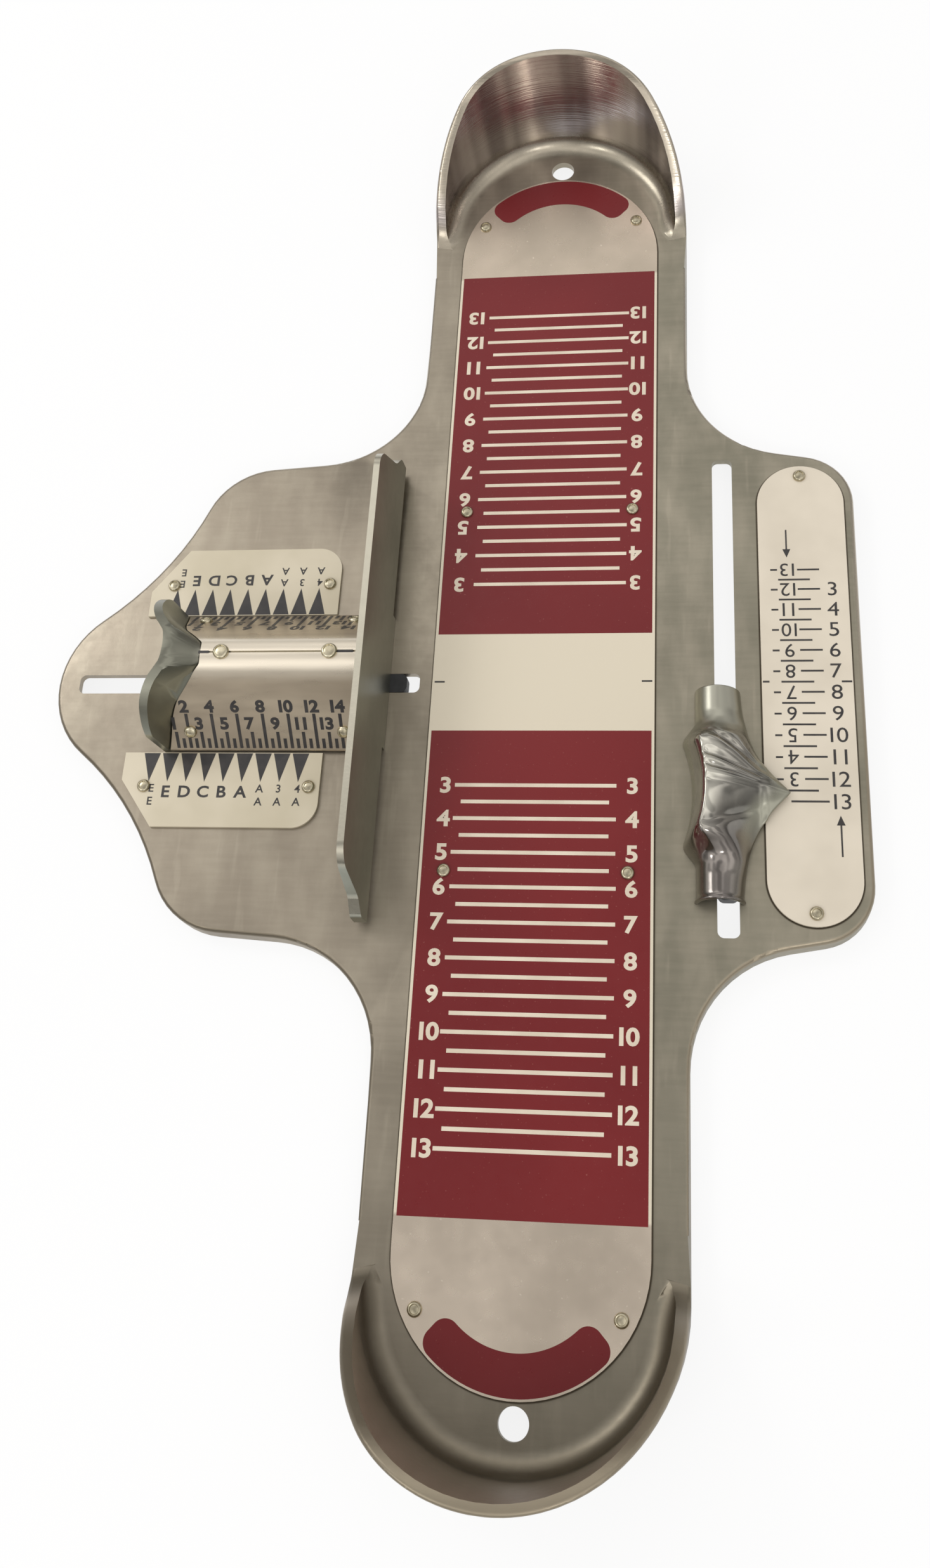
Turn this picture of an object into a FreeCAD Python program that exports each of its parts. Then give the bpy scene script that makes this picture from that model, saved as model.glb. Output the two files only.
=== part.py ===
import FreeCAD, Part
import math
import os

import Sketcher
from FreeCAD import Placement, Rotation, Vector

# Foot measuring device: a cast tray with a heel cup at each end, printed scale plates riveted to it,
# a width bar that slides across it and an arch pointer that slides along it.
# Millimetres. Z = 0 is the printed face of the size plate and the origin is the middle of that plate.
# X runs from the width bar (negative) to the arch scale (positive), Y from one heel cup to the other.

doc = FreeCAD.newDocument("foot_measuring_device")
sheet = doc.addObject("Spreadsheet::Sheet", "Sizes")


class Size(float):
    """A length that also carries the spreadsheet expression it comes from."""

    def __new__(cls, value, text):
        item = super().__new__(cls, value)
        item.text = text
        return item

    def __add__(self, other):
        return Size(float(self) + float(other), f"({self.text} + {text_of(other)})")

    def __radd__(self, other):
        return Size(float(other) + float(self), f"({text_of(other)} + {self.text})")

    def __sub__(self, other):
        return Size(float(self) - float(other), f"({self.text} - {text_of(other)})")

    def __rsub__(self, other):
        return Size(float(other) - float(self), f"({text_of(other)} - {self.text})")

    def __mul__(self, other):
        return Size(float(self) * float(other), f"({self.text} * {text_of(other)})")

    __rmul__ = __mul__

    def __truediv__(self, other):
        return Size(float(self) / float(other), f"({self.text} / {text_of(other)})")

    def __neg__(self):
        return Size(-float(self), f"(-{self.text})")


def text_of(value):
    """The expression text of a size, or the number itself."""
    return value.text if isinstance(value, Size) else repr(float(value))


def size(name, value, meaning):
    """Writes one driving size into the spreadsheet and returns it."""
    row = len(rows) + 1
    rows.append(name)
    sheet.set(f"A{row}", meaning)
    sheet.set(f"B{row}", str(value))
    sheet.setAlias(f"B{row}", name)
    return Size(value, f"Sizes.{name}")


rows = []
zero = Size(0.0, "0")

# --- tray casting -------------------------------------------------------------------------------
plate_thick = size("plate_thick", 0.8, "printed plates, sheet thickness")
bed_thick = size("bed_thick", 2.0, "tray bed")
skirt_depth = size("skirt_depth", 5.6, "bed face down to the floor")
skirt_wall = size("skirt_wall", 2.2, "skirt wall")
bed_edge_round = size("bed_edge_round", 1.2, "rounding of the bed's outer edge")
stem_half = size("stem_half", 36.4, "half width of the stem, outer radius of the heel cups")
cup_centre = size("cup_centre", 141.6, "middle of the tray to the centre of a heel cup")
flare_radius = size("flare_radius", 28.0, "hollow corner from the stem into a lobe")
flare_centre = size("flare_centre", 93.6, "Y of that corner's centre")
lobe_corner_radius = size("lobe_corner_radius", 19.7, "width lobe, shoulder corner")
lobe_corner_rim = size("lobe_corner_rim", 52.5, "width lobe, that corner's centre to the tip of the nose")
lobe_corner_y = size("lobe_corner_y", 45.0, "width lobe, Y of that corner's centre")
waist_radius = size("waist_radius", 80.0, "width lobe, hollow flank")
nose_radius = size("nose_radius", 24.0, "width lobe, nose")
nose_reach = size("nose_reach", 128.5, "middle of the tray to the tip of the nose")
arch_side_reach = size("arch_side_reach", 79.0, "middle of the tray to the arch side")
arch_corner_radius = size("arch_corner_radius", 14.0, "arch lobe, corner")
arch_corner_y = size("arch_corner_y", 50.8, "arch lobe, Y of the corner's centre")

# --- heel cups ----------------------------------------------------------------------------------
cup_height = size("cup_height", 34.8, "crown of the rim above the plates")
cup_rim_wall = size("cup_rim_wall", 2.2, "wall at the rim")
cup_foot_wall = size("cup_foot_wall", 3.0, "wall above the heel fillet")
heel_fillet = size("heel_fillet", 5.2, "hollow between the bed and the cup wall")
cup_run_out = size("cup_run_out", 14.0, "straight run of the wall ahead of the round end")
lip_start = size("lip_start", 139.6, "side view: Y where the wall starts to rise")
crown_radius = size("crown_radius", 22.0, "side view: rounding of the rim towards the back")
crown_centre = size("crown_centre", 181.0, "side view: Y of that rounding's centre")
rim_round = size("rim_round", 0.8, "rounding of the rim's edges")
hang_hole_radius = size("hang_hole_radius", 3.3, "hanging hole")
hang_hole_y = size("hang_hole_y", 165.1, "hanging hole, Y")

# --- slots in the bed ---------------------------------------------------------------------------
width_slot_rim = size("width_slot_rim", 6.0, "width slot, outer end to the tip of the nose")
width_slot_near = size("width_slot_near", 31.5, "width slot, end next to the foot")
slot_width = size("slot_width", 5.2, "both slots")
slot_corner = size("slot_corner", 1.6, "both slots, corner radius")
arch_slot_x = size("arch_slot_x", 45.4, "arch slot, X")
arch_slot_half = size("arch_slot_half", 63.8, "arch slot, half length")

# --- printed plates and their rivets ------------------------------------------------------------
size_plate_half = size("size_plate_half", 28.1, "size plate, half width and end radius")
size_plate_centre = size("size_plate_centre", 132.9, "size plate, Y of an end's centre")
width_plate_inner = size("width_plate_inner", 19.2, "width plates, edge beside the bar")
width_plate_outer = size("width_plate_outer", 38.8, "width plates, edge away from the bar")
width_plate_rim = size("width_plate_rim", 22.1, "width plates, outer end to the tip of the nose")
width_plate_near = size("width_plate_near", 54.7, "width plates, end at the foot")
width_plate_cut_x = size("width_plate_cut_x", 9.2, "width plates, cut corner, along X")
width_plate_cut_y = size("width_plate_cut_y", 12.3, "width plates, cut corner, along Y")
width_plate_corner = size("width_plate_corner", 6.5, "width plates, rounded corner")
arch_plate_x = size("arch_plate_x", 65.35, "arch plate, X")
arch_plate_half = size("arch_plate_half", 11.05, "arch plate, half width and end radius")
arch_plate_reach = size("arch_plate_reach", 61.0, "arch plate, Y of its ends")
rivet_shank = size("rivet_shank", 1.1, "rivets, shank radius")
rivet_head = size("rivet_head", 1.65, "rivets, head radius")
rivet_rim = size("rivet_rim", 0.2, "rivets, upright edge of the head")
rivet_dome = size("rivet_dome", 0.7, "rivets, rounding of the head above that edge")
rivet_tail = size("rivet_tail", 0.6, "rivets, clinched end under the bed")
rivet_play = size("rivet_play", 0.05, "rivet holes over the shank radius")
size_rivet_x = size("size_rivet_x", 22.0, "size plate rivets, X")
size_rivet_middle = size("size_rivet_middle", 49.0, "size plate rivets, Y of the inner ones")
size_rivet_end = size("size_rivet_end", 144.7, "size plate rivets, Y of the outer ones")
width_rivet_inset = size("width_rivet_inset", 6.1, "width plate rivets, in from the end at the nose")
width_rivet_foot = size("width_rivet_foot", 2.8, "width plate rivets, in from the end at the foot")
width_rivet_y = size("width_rivet_y", 28.2, "width plate rivets, Y")
arch_rivet_inset = size("arch_rivet_inset", 3.1, "arch plate rivets, in from the ends of the plate")

# --- width bar ----------------------------------------------------------------------------------
slide_gap = size("slide_gap", 0.1, "castings over the bed")
saddle_half = size("saddle_half", 18.1, "saddle, half width")
saddle_edge = size("saddle_edge", 1.0, "saddle, upright edge at each side")
ridge_height = size("ridge_height", 19.1, "saddle, top of the ridge")
ridge_radius = size("ridge_radius", 5.4, "saddle, rounding of the ridge")
saddle_wall = size("saddle_wall", 2.2, "saddle, wall")
fence_face = size("fence_face", 39.2, "fence, foot side at the bottom")
fence_foot_thick = size("fence_foot_thick", 3.2, "fence, thickness at the bottom")
fence_top_thick = size("fence_top_thick", 1.6, "fence, thickness at the top")
fence_height = size("fence_height", 25.0, "fence, top edge")
fence_lift = size("fence_lift", 1.5, "fence, wings held over the rivet heads")
fence_half = size("fence_half", 62.3, "fence, half length")
fence_end_round = size("fence_end_round", 3.0, "fence, rounding of the low ends")
fence_end_height = size("fence_end_height", 8.0, "fence, height of the low ends")
fence_dip_radius = size("fence_dip_radius", 5.0, "fence, hollow above the low ends")
fence_dip_y = size("fence_dip_y", 62.7, "fence, Y of that hollow's centre")
fence_dip_z = size("fence_dip_z", 13.0, "fence, Z of that hollow's centre")
fence_top_round = size("fence_top_round", 6.0, "fence, rounding of the top corners")
fence_top_y = size("fence_top_y", 49.2, "fence, Y of that rounding's centre")
grip_half = size("grip_half", 18.8, "thumb grip, half width")
grip_height = size("grip_height", 24.7, "thumb grip, top")
grip_crown = size("grip_crown", 19.4, "thumb grip, radius of its top seen along the bar")
grip_draw = size("grip_draw", 26.0, "thumb grip, height of its upper plan outline")
grip_rim = size("grip_rim", 33.8, "thumb grip, inner face at the saddle's edge to the tip of the nose")
grip_wall = size("grip_wall", 2.0, "thumb grip, wall")
grip_low_bow = size("grip_low_bow", 19.2, "thumb grip, bow of the inner face at the bed")
grip_low_bend = size("grip_low_bend", 3.0, "thumb grip, bend on the ridge line at the bed")
grip_low_hollow = size("grip_low_hollow", 14.0, "thumb grip, hollow flanks at the bed")
grip_low_hollow_x = size("grip_low_hollow_x", 14.8, "thumb grip, ends to the centres of those flanks")
grip_low_hollow_y = size("grip_low_hollow_y", 20.9, "thumb grip, Y of the centres of those flanks")
grip_mid_height = size("grip_mid_height", 19.0, "thumb grip, height of the middle outline")
grip_mid_lean = size("grip_mid_lean", 2.0, "thumb grip, lean of the ends up to the middle outline")
grip_mid_bow = size("grip_mid_bow", 14.1, "thumb grip, bow of the middle outline")
grip_mid_bend = size("grip_mid_bend", 4.5, "thumb grip, bend of the middle outline")
grip_mid_hollow = size("grip_mid_hollow", 12.0, "thumb grip, hollow flanks of the middle outline")
grip_mid_hollow_x = size("grip_mid_hollow_x", 13.0, "thumb grip, ends to the centres of those flanks")
grip_mid_hollow_y = size("grip_mid_hollow_y", 18.2, "thumb grip, Y of the centres of those flanks")
grip_high_lean = size("grip_high_lean", 2.7, "thumb grip, lean of the ends up to the upper outline")
grip_high_bow = size("grip_high_bow", 6.8, "thumb grip, bow of the upper outline")
grip_high_bend = size("grip_high_bend", 12.0, "thumb grip, bend of the upper outline")
grip_high_hollow = size("grip_high_hollow", 26.0, "thumb grip, hollow flanks of the upper outline")
grip_high_hollow_x = size("grip_high_hollow_x", 26.0, "thumb grip, ends to the centres of those flanks")
grip_high_hollow_y = size("grip_high_hollow_y", 21.9, "thumb grip, Y of the centres of those flanks")
table_thick = size("table_thick", 0.6, "printed sheets on the saddle")
table_seat = size("table_seat", 0.05, "sheets over the saddle")
table_slit = size("table_slit", 0.5, "slit between the two sheets")
table_hem = size("table_hem", 0.2, "sheets, lower edge below the saddle's slope")
table_gap = size("table_gap", 0.4, "sheets to the fence and to the grip")
ridge_rivet_head = size("ridge_rivet_head", 2.0, "ridge rivets, head radius")
ridge_rivet_grip = size("ridge_rivet_grip", 17.0, "ridge rivets, grip to the far one")
ridge_rivet_fence = size("ridge_rivet_fence", 7.9, "ridge rivets, fence to the near one")
edge_rivet_grip = size("edge_rivet_grip", 6.5, "lower sheet rivets, grip to the far ones")
edge_rivet_fence = size("edge_rivet_fence", 6.2, "lower sheet rivets, fence to the near ones")
edge_rivet_up = size("edge_rivet_up", 5.2, "lower sheet rivets, distance up the slope")

# --- parts that ride in the slots ---------------------------------------------------------------
block_play = size("block_play", 0.1, "guide blocks to each side of their slot")
block_drop = size("block_drop", 1.0, "guide blocks, below the bed")
spring_half = size("spring_half", 5.6, "friction springs, half width over the wings")
spring_flat = size("spring_flat", 3.0, "friction springs, half width of the clamped middle")
spring_thick = size("spring_thick", 0.3, "friction springs, strip thickness")
spring_gap = size("spring_gap", 0.05, "friction springs, wing tips under the bed")
retainer_half = size("retainer_half", 6.5, "retainer plates, half width")
retainer_thick = size("retainer_thick", 1.0, "retainer plates, thickness")
retainer_inset = size("retainer_inset", 1.5, "retainer plates and springs, short of the blocks' ends")
screw_shank = size("screw_shank", 1.45, "screws, shank radius")
screw_head = size("screw_head", 2.5, "screws, head radius")
screw_head_deep = size("screw_head_deep", 1.0, "screws, head height")
screw_round = size("screw_round", 0.6, "screws, rounding of the head")
screw_bite = size("screw_bite", 4.0, "screws, length inside the casting")
screw_play = size("screw_play", 0.05, "screw holes over the shank radius")
boss_radius = size("boss_radius", 3.4, "screw bosses under the saddle")
boss_cover = size("boss_cover", 1.6, "ridge metal over the screw bosses")
width_block_front = size("width_block_front", 34.8, "width guide block, end at the foot")
width_block_short = size("width_block_short", 8.7, "width guide block, its end short of the grip")
width_screw_grip = size("width_screw_grip", 25.2, "width screws, grip to the far one")
width_screw_pitch = size("width_screw_pitch", 12.0, "width screws, spacing")
arch_block_half = size("arch_block_half", 25.4, "arch guide block, half length")
arch_screw_half = size("arch_screw_half", 15.0, "arch screws, half spacing")

# --- arch pointer -------------------------------------------------------------------------------
pointer_y = size("pointer_y", -29.5, "arch pointer, Y of its tip")
tunnel_length = size("tunnel_length", 26.4, "arch pointer, half length")
tunnel_half = size("tunnel_half", 4.45, "arch pointer, half width of its ends")
tunnel_height = size("tunnel_height", 5.4, "arch pointer, height of its ends")
tunnel_shift = size("tunnel_shift", 1.3, "arch pointer, its ends stand nearer the foot than the slot")
tunnel_wall = size("tunnel_wall", 1.2, "arch pointer, wall of its ends")
tunnel_web = size("tunnel_web", 3.6, "arch pointer, half length of the metal round each screw")
root_y = size("root_y", 20.5, "arch pointer, middle to where the hump grows out of the ends")
shoulder_y = size("shoulder_y", 15.5, "arch pointer, middle to the shoulders")
shoulder_out = size("shoulder_out", 6.0, "arch pointer, slot to the shoulders' foot side")
shoulder_far = size("shoulder_far", 5.0, "arch pointer, slot to the shoulders' scale side")
shoulder_top = size("shoulder_top", 6.3, "arch pointer, top of the shoulders")
shoulder_round = size("shoulder_round", 4.2, "arch pointer, rounding of the shoulders")
wing_y = size("wing_y", 12.2, "arch pointer, middle to the wings")
wing_out = size("wing_out", 9.3, "arch pointer, slot to the wings' foot side")
wing_far = size("wing_far", 6.0, "arch pointer, slot to the wings' scale side")
wing_top = size("wing_top", 9.4, "arch pointer, top of the wings")
wing_round = size("wing_round", 3.6, "arch pointer, rounding of the wings")
brow_y = size("brow_y", 9.0, "arch pointer, middle to the brows")
brow_out = size("brow_out", 9.0, "arch pointer, slot to the brows' foot side")
brow_far = size("brow_far", 7.2, "arch pointer, slot to the brows' scale side")
brow_top = size("brow_top", 11.2, "arch pointer, top of the brows")
brow_round = size("brow_round", 3.3, "arch pointer, rounding of the brows")
cheek_y = size("cheek_y", 6.0, "arch pointer, middle to the cheeks")
cheek_out = size("cheek_out", 8.6, "arch pointer, slot to the cheeks' foot side")
cheek_far = size("cheek_far", 9.0, "arch pointer, slot to the cheeks' scale side")
cheek_top = size("cheek_top", 12.4, "arch pointer, top of the cheeks")
cheek_round = size("cheek_round", 3.0, "arch pointer, rounding of the cheeks")
beak_y = size("beak_y", 1.7, "arch pointer, half width of the beak")
beak_far = size("beak_far", 13.0, "arch pointer, slot to the beak's shoulders")
beak_side = size("beak_side", 1.2, "arch pointer, upright edge of the beak")
hump_out = size("hump_out", 8.0, "arch pointer, slot to the hump's foot side")
hump_top = size("hump_top", 13.0, "arch pointer, top of the hump")
hump_round = size("hump_round", 2.6, "arch pointer, rounding of the hump")
tip_far = size("tip_far", 15.2, "arch pointer, slot to the tip")
tip_top = size("tip_top", 1.9, "arch pointer, top of the tip")
side_top = size("side_top", 0.5, "arch pointer, upright edge of its sides")
tip_lift = size("tip_lift", 0.4, "arch pointer, clear of the arch plate")
scoop_centre = size("scoop_centre", 44.1, "arch pointer, slot to the axis of the hollow for the foot")
scoop_foot = size("scoop_foot", 37.0, "arch pointer, radius of that hollow at the bottom")
scoop_top = size("scoop_top", 39.6, "arch pointer, radius of that hollow at the top")
flute_radius = size("flute_radius", 1.6, "arch pointer, finger flutes at the hollow")
flute_end = size("flute_end", 0.5, "arch pointer, finger flutes at the tip")
flute_pitch = size("flute_pitch", 3.8, "arch pointer, finger flutes, spacing at the hollow")

doc.recompute()

bed_top = -plate_thick
bed_under = bed_top - bed_thick
floor = bed_top - skirt_depth
casting_foot = bed_top + slide_gap
block_foot = bed_under - block_drop
spring_foot = block_foot - spring_thick
retainer_foot = spring_foot - retainer_thick
width_slot_far = nose_reach - width_slot_rim
width_plate_far = nose_reach - width_plate_rim
width_rivet_far = width_plate_far - width_rivet_inset
width_rivet_near = width_plate_near + width_rivet_foot
arch_rivet_y = arch_plate_reach - arch_rivet_inset
fence_back = fence_face + fence_foot_thick
grip_end = nose_reach - grip_rim
grip_back = grip_end + grip_high_lean + grip_wall
ridge_rivet_far = grip_end - ridge_rivet_grip
ridge_rivet_near = fence_back + ridge_rivet_fence
edge_rivet_far = grip_end - edge_rivet_grip
edge_rivet_near = fence_back + edge_rivet_fence
width_block_back = grip_end - width_block_short
width_screw_back = grip_end - width_screw_grip
width_screw_front = width_screw_back - width_screw_pitch
block_half = slot_width / 2 - block_play
lobe_corner_x = nose_reach - lobe_corner_rim

# The saddle's slope is the line from its side edge that touches the rounding of the ridge.
slope_foot = casting_foot + saddle_edge
slope_rise = ridge_height - ridge_radius - slope_foot
slope_reach = math.hypot(slope_rise, saddle_half)
saddle_slope = Size(
    math.degrees(math.atan2(slope_rise, saddle_half) + math.asin(ridge_radius / slope_reach)),
    f"(atan2({slope_rise.text}; {saddle_half.text}) + asin({ridge_radius.text} / "
    f"sqrt(pow({slope_rise.text}; 2) + pow({saddle_half.text}; 2))))")
slope_cos = Size(math.cos(math.radians(saddle_slope)), f"cos({saddle_slope.text})")
slope_sin = Size(math.sin(math.radians(saddle_slope)), f"sin({saddle_slope.text})")


# --- helpers ------------------------------------------------------------------------------------
def new_body(name):
    body = doc.addObject("PartDesign::Body", name)
    body.Label = name
    return body


def origin_of(body, role):
    """One of the body's own origin planes or axes."""
    return [item for item in body.Origin.OriginFeatures if item.Role == role][0]


def sketch_on(body, name, plane, offset=zero, shift=zero, side=0):
    """A sketch on an origin plane of the body, moved along that plane's normal and along its Y.
    With a side it is also tilted about X to the slope on that side of the saddle."""
    sketch = body.newObject("Sketcher::SketchObject", name)
    sketch.AttachmentSupport = [(origin_of(body, plane), "")]
    sketch.MapMode = "FlatFace"
    turn = Rotation(Vector(-side, 0, 0), float(saddle_slope)) if side else Rotation()
    sketch.AttachmentOffset = Placement(Vector(0, float(shift), float(offset)), turn)
    sketch.setExpression("AttachmentOffset.Base.z", text_of(offset))
    sketch.setExpression("AttachmentOffset.Base.y", text_of(shift))
    if side:
        sketch.setExpression("AttachmentOffset.Rotation.Angle", text_of(saddle_slope))
    doc.recompute()
    return sketch


def bind(sketch, kind, refs, value):
    """Adds a dimension and ties it to the spreadsheet."""
    index = sketch.addConstraint(Sketcher.Constraint(kind, *refs, float(value)))
    sketch.setExpression(f"Constraints[{index}]", text_of(value))


def place(sketch, geo, pos, x, y):
    """Dimensions a point from the sketch's origin. Plain numbers are left for the solver to find."""
    for kind, value, axis in (("DistanceX", x, -2), ("DistanceY", y, -1)):
        if not isinstance(value, Size):
            continue
        if float(value) == 0:
            sketch.addConstraint(Sketcher.Constraint("PointOnObject", geo, pos, axis))
        elif float(value) > 0:
            bind(sketch, kind, (-1, 1, geo, pos), value)
        else:
            bind(sketch, kind, (geo, pos, -1, 1), -value)


def outline(sketch, stops):
    """A closed outline, drawn anticlockwise round its stops. A stop is a sharp corner (x, y) or an arc
    (x, y, radius, turn) with its centre at x, y and a turn of 1 to the left or -1 to the right.
    Straight lines tangent to the arcs join the stops, and arcs that just touch are joined directly."""
    stops = [stop if len(stop) == 4 else (*stop, None, 1) for stop in stops]
    count = len(stops)
    headings, gaps = [], []
    for i, (x0, y0, r0, turn0) in enumerate(stops):
        x1, y1, r1, turn1 = stops[(i + 1) % count]
        dx, dy = float(x1) - float(x0), float(y1) - float(y0)
        apart = math.hypot(dx, dy)
        swing = (turn1 * float(r1 or 0) - turn0 * float(r0 or 0)) / apart
        swing = max(-1.0, min(1.0, swing))
        headings.append(math.atan2(dy, dx) - math.asin(swing))
        gaps.append(apart * math.sqrt(1 - swing * swing))

    def leaving(stop, heading):
        x, y, radius, turn = stop
        reach = turn * float(radius or 0)
        return Vector(float(x) + reach * math.sin(heading), float(y) - reach * math.cos(heading), 0)

    chain = []
    for i, (x, y, radius, turn) in enumerate(stops):
        if radius is not None:
            first, last = (headings[i - 1], headings[i]) if turn > 0 else (headings[i], headings[i - 1])
            first, last = first - turn * math.pi / 2, last - turn * math.pi / 2
            last = first + (last - first) % (2 * math.pi)
            circle = Part.Circle(Vector(float(x), float(y), 0), Vector(0, 0, 1), float(radius))
            geo = sketch.addGeometry(Part.ArcOfCircle(circle, first, last))
            chain.append((geo, 1, 2, False) if turn > 0 else (geo, 2, 1, False))
        if gaps[i] > 1e-3:
            start = leaving(stops[i], headings[i])
            end = leaving(stops[(i + 1) % count], headings[i])
            geo = sketch.addGeometry(Part.LineSegment(start, end))
            chain.append((geo, 1, 2, True))
    for i, (geo, _, leave, straight) in enumerate(chain):
        after, enter, _, straight_after = chain[(i + 1) % len(chain)]
        kind = "Coincident" if straight and straight_after else "Tangent"
        sketch.addConstraint(Sketcher.Constraint(kind, geo, leave, after, enter))
    index = 0
    for i, (x, y, radius, _) in enumerate(stops):
        geo = chain[index][0]
        if radius is None:
            place(sketch, geo, 1, x, y)
        else:
            bind(sketch, "Radius", (geo,), radius)
            place(sketch, geo, 3, x, y)
        index += (radius is not None) + (gaps[i] > 1e-3)
    return chain


def mirrored(stops, axis):
    """Completes the first half of a symmetrical outline, mirrored in its 'x' or 'y' axis."""
    rest = []
    for x, y, *arc in reversed(stops):
        if axis == "x" and float(y) != 0:
            rest.append((x, -y, *arc))
        if axis == "y" and float(x) != 0:
            rest.append((-x, y, *arc))
    return stops + rest


def circles(sketch, spots, radius):
    for x, y in spots:
        geo = sketch.addGeometry(Part.Circle(Vector(float(x), float(y), 0), Vector(0, 0, 1), float(radius)))
        bind(sketch, "Radius", (geo,), radius)
        place(sketch, geo, 3, x, y)


def box_stops(x0, x1, y0, y1, corner=None):
    """A rectangle, with rounded corners where a corner radius is given."""
    if corner is None:
        return [(x1, y0), (x1, y1), (x0, y1), (x0, y0)]
    return [(x1 - corner, y0 + corner, corner, 1), (x1 - corner, y1 - corner, corner, 1),
            (x0 + corner, y1 - corner, corner, 1), (x0 + corner, y0 + corner, corner, 1)]


def pad(body, sketch, length, reverse=False):
    feature = body.newObject("PartDesign::Pad", sketch.Label + "Pad")
    feature.Profile = sketch
    feature.setExpression("Length", text_of(length))
    feature.Reversed = reverse
    doc.recompute()


def pocket(body, sketch, length=None, reverse=False, both=False):
    """Cuts the sketch out of the body, to a depth or right through, and checks that it cut."""
    before = body.Shape.Volume
    feature = body.newObject("PartDesign::Pocket", sketch.Label + "Pocket")
    feature.Profile = sketch
    feature.Reversed = reverse
    if both:
        feature.SideType = "Symmetric"
    if length is None:
        feature.Type = "ThroughAll"
    else:
        feature.setExpression("Length", text_of(length))
    doc.recompute()
    if body.Shape.Volume > before - 1e-3:
        raise RuntimeError(f"{sketch.Label} cut nothing out of {body.Label}")


def fillet(body, test, radius):
    """Rounds the edges of the newest feature that pass the test."""
    base = body.Tip
    names = [f"Edge{i + 1}" for i, edge in enumerate(base.Shape.Edges) if test(edge)]
    feature = body.newObject("PartDesign::Fillet", "Fillet")
    feature.Base = (base, names)
    feature.setExpression("Radius", text_of(radius))
    doc.recompute()


def loft(body, kind, sketches, ruled=False):
    feature = body.newObject(f"PartDesign::{kind}", kind)
    feature.Profile = sketches[0]
    feature.Sections = sketches[1:]
    feature.Ruled = ruled
    doc.recompute()


def reflect(body, plane):
    """Adds the mirror image of the whole body in one of its origin planes."""
    feature = body.newObject("PartDesign::Mirrored", "Mirrored")
    feature.TransformMode = "Whole shape"
    feature.MirrorPlane = (origin_of(body, plane), [""])
    body.Tip = feature
    doc.recompute()


def repeat(body, axis, distance):
    """Adds one copy of the whole body, moved along one of its origin axes."""
    feature = body.newObject("PartDesign::LinearPattern", "Repeat")
    feature.TransformMode = "Whole shape"
    feature.Direction = (origin_of(body, axis), [""])
    feature.Occurrences = 2
    feature.setExpression("Length", text_of(distance))
    body.Tip = feature
    doc.recompute()


def revolve(body, sketch, kind="Revolution"):
    """Turns the sketch round its last edge, adding or cutting (a Groove)."""
    feature = body.newObject(f"PartDesign::{kind}", sketch.Label + kind)
    feature.Profile = sketch
    feature.ReferenceAxis = (sketch, [f"Edge{sketch.GeometryCount}"])
    feature.Angle = 360
    doc.recompute()


def rivet_stops(x, top, under, head, clinched):
    """Half section of a rivet up to its rounded head. It is clinched under the bed, or driven in plain."""
    tail = [(x, under - rivet_tail), (x + rivet_head, under - rivet_tail), (x + rivet_head, under)]
    return (tail if clinched else [(x, under)]) + [
        (x + rivet_shank, under), (x + rivet_shank, top), (x + head, top),
        (x + head - rivet_dome, top + rivet_rim, rivet_dome, 1), (x, top + rivet_rim + rivet_dome)]


# --- tray ---------------------------------------------------------------------------------------
def tray_stops(wall=zero):
    """Right arch corner, stem, heel end, stem, width shoulder, hollow flank, nose, and the same back.
    With a wall it is the inside of the skirt."""
    nose_x = nose_radius - nose_reach
    # The hollow flank touches the shoulder corner and the nose, so its centre follows from both.
    far, near = float(waist_radius + lobe_corner_radius), float(waist_radius + nose_radius)
    dx, dy = float(-lobe_corner_x - nose_x), float(lobe_corner_y)
    apart = math.hypot(dx, dy)
    along = (near * near - far * far + apart * apart) / (2 * apart)
    aside = math.sqrt(near * near - along * along)
    waist_x = float(nose_x) + (along * dx - aside * dy) / apart
    waist_y = (along * dy + aside * dx) / apart
    return mirrored([
        (arch_side_reach - arch_corner_radius, arch_corner_y, arch_corner_radius - wall, 1),
        (stem_half + flare_radius, flare_centre, flare_radius + wall, -1),
        (zero, cup_centre, stem_half - wall, 1),
        (-(stem_half + flare_radius), flare_centre, flare_radius + wall, -1),
        (-lobe_corner_x, lobe_corner_y, lobe_corner_radius - wall, 1),
        (waist_x, waist_y, waist_radius + wall, -1),
        (nose_x, zero, nose_radius - wall, 1)], "x")


def four_ways(x, y):
    return [(x, y), (-x, y), (-x, -y), (x, -y)]


size_rivets = four_ways(size_rivet_x, size_rivet_middle) + four_ways(size_rivet_x, size_rivet_end)
width_rivets = [(-x, y) for x in (width_rivet_far, width_rivet_near)
                for y in (width_rivet_y, -width_rivet_y)]
arch_rivets = [(arch_plate_x, arch_rivet_y), (arch_plate_x, -arch_rivet_y)]


def rim_height(y):
    """Side view of the heel cup: height of the rim at a distance y from the middle of the tray."""
    centre_y, centre_z = float(crown_centre), float(cup_height - crown_radius)
    dy, dz = centre_y - float(lip_start), centre_z - float(bed_top)
    ramp = math.atan2(dz, dy) + math.asin(float(crown_radius) / math.hypot(dy, dz))
    if y < centre_y - float(crown_radius) * math.sin(ramp):
        return float(bed_top) + (y - float(lip_start)) * math.tan(ramp)
    return centre_z + math.sqrt(max(0.0, float(crown_radius) ** 2 - (centre_y - y) ** 2))


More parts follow.
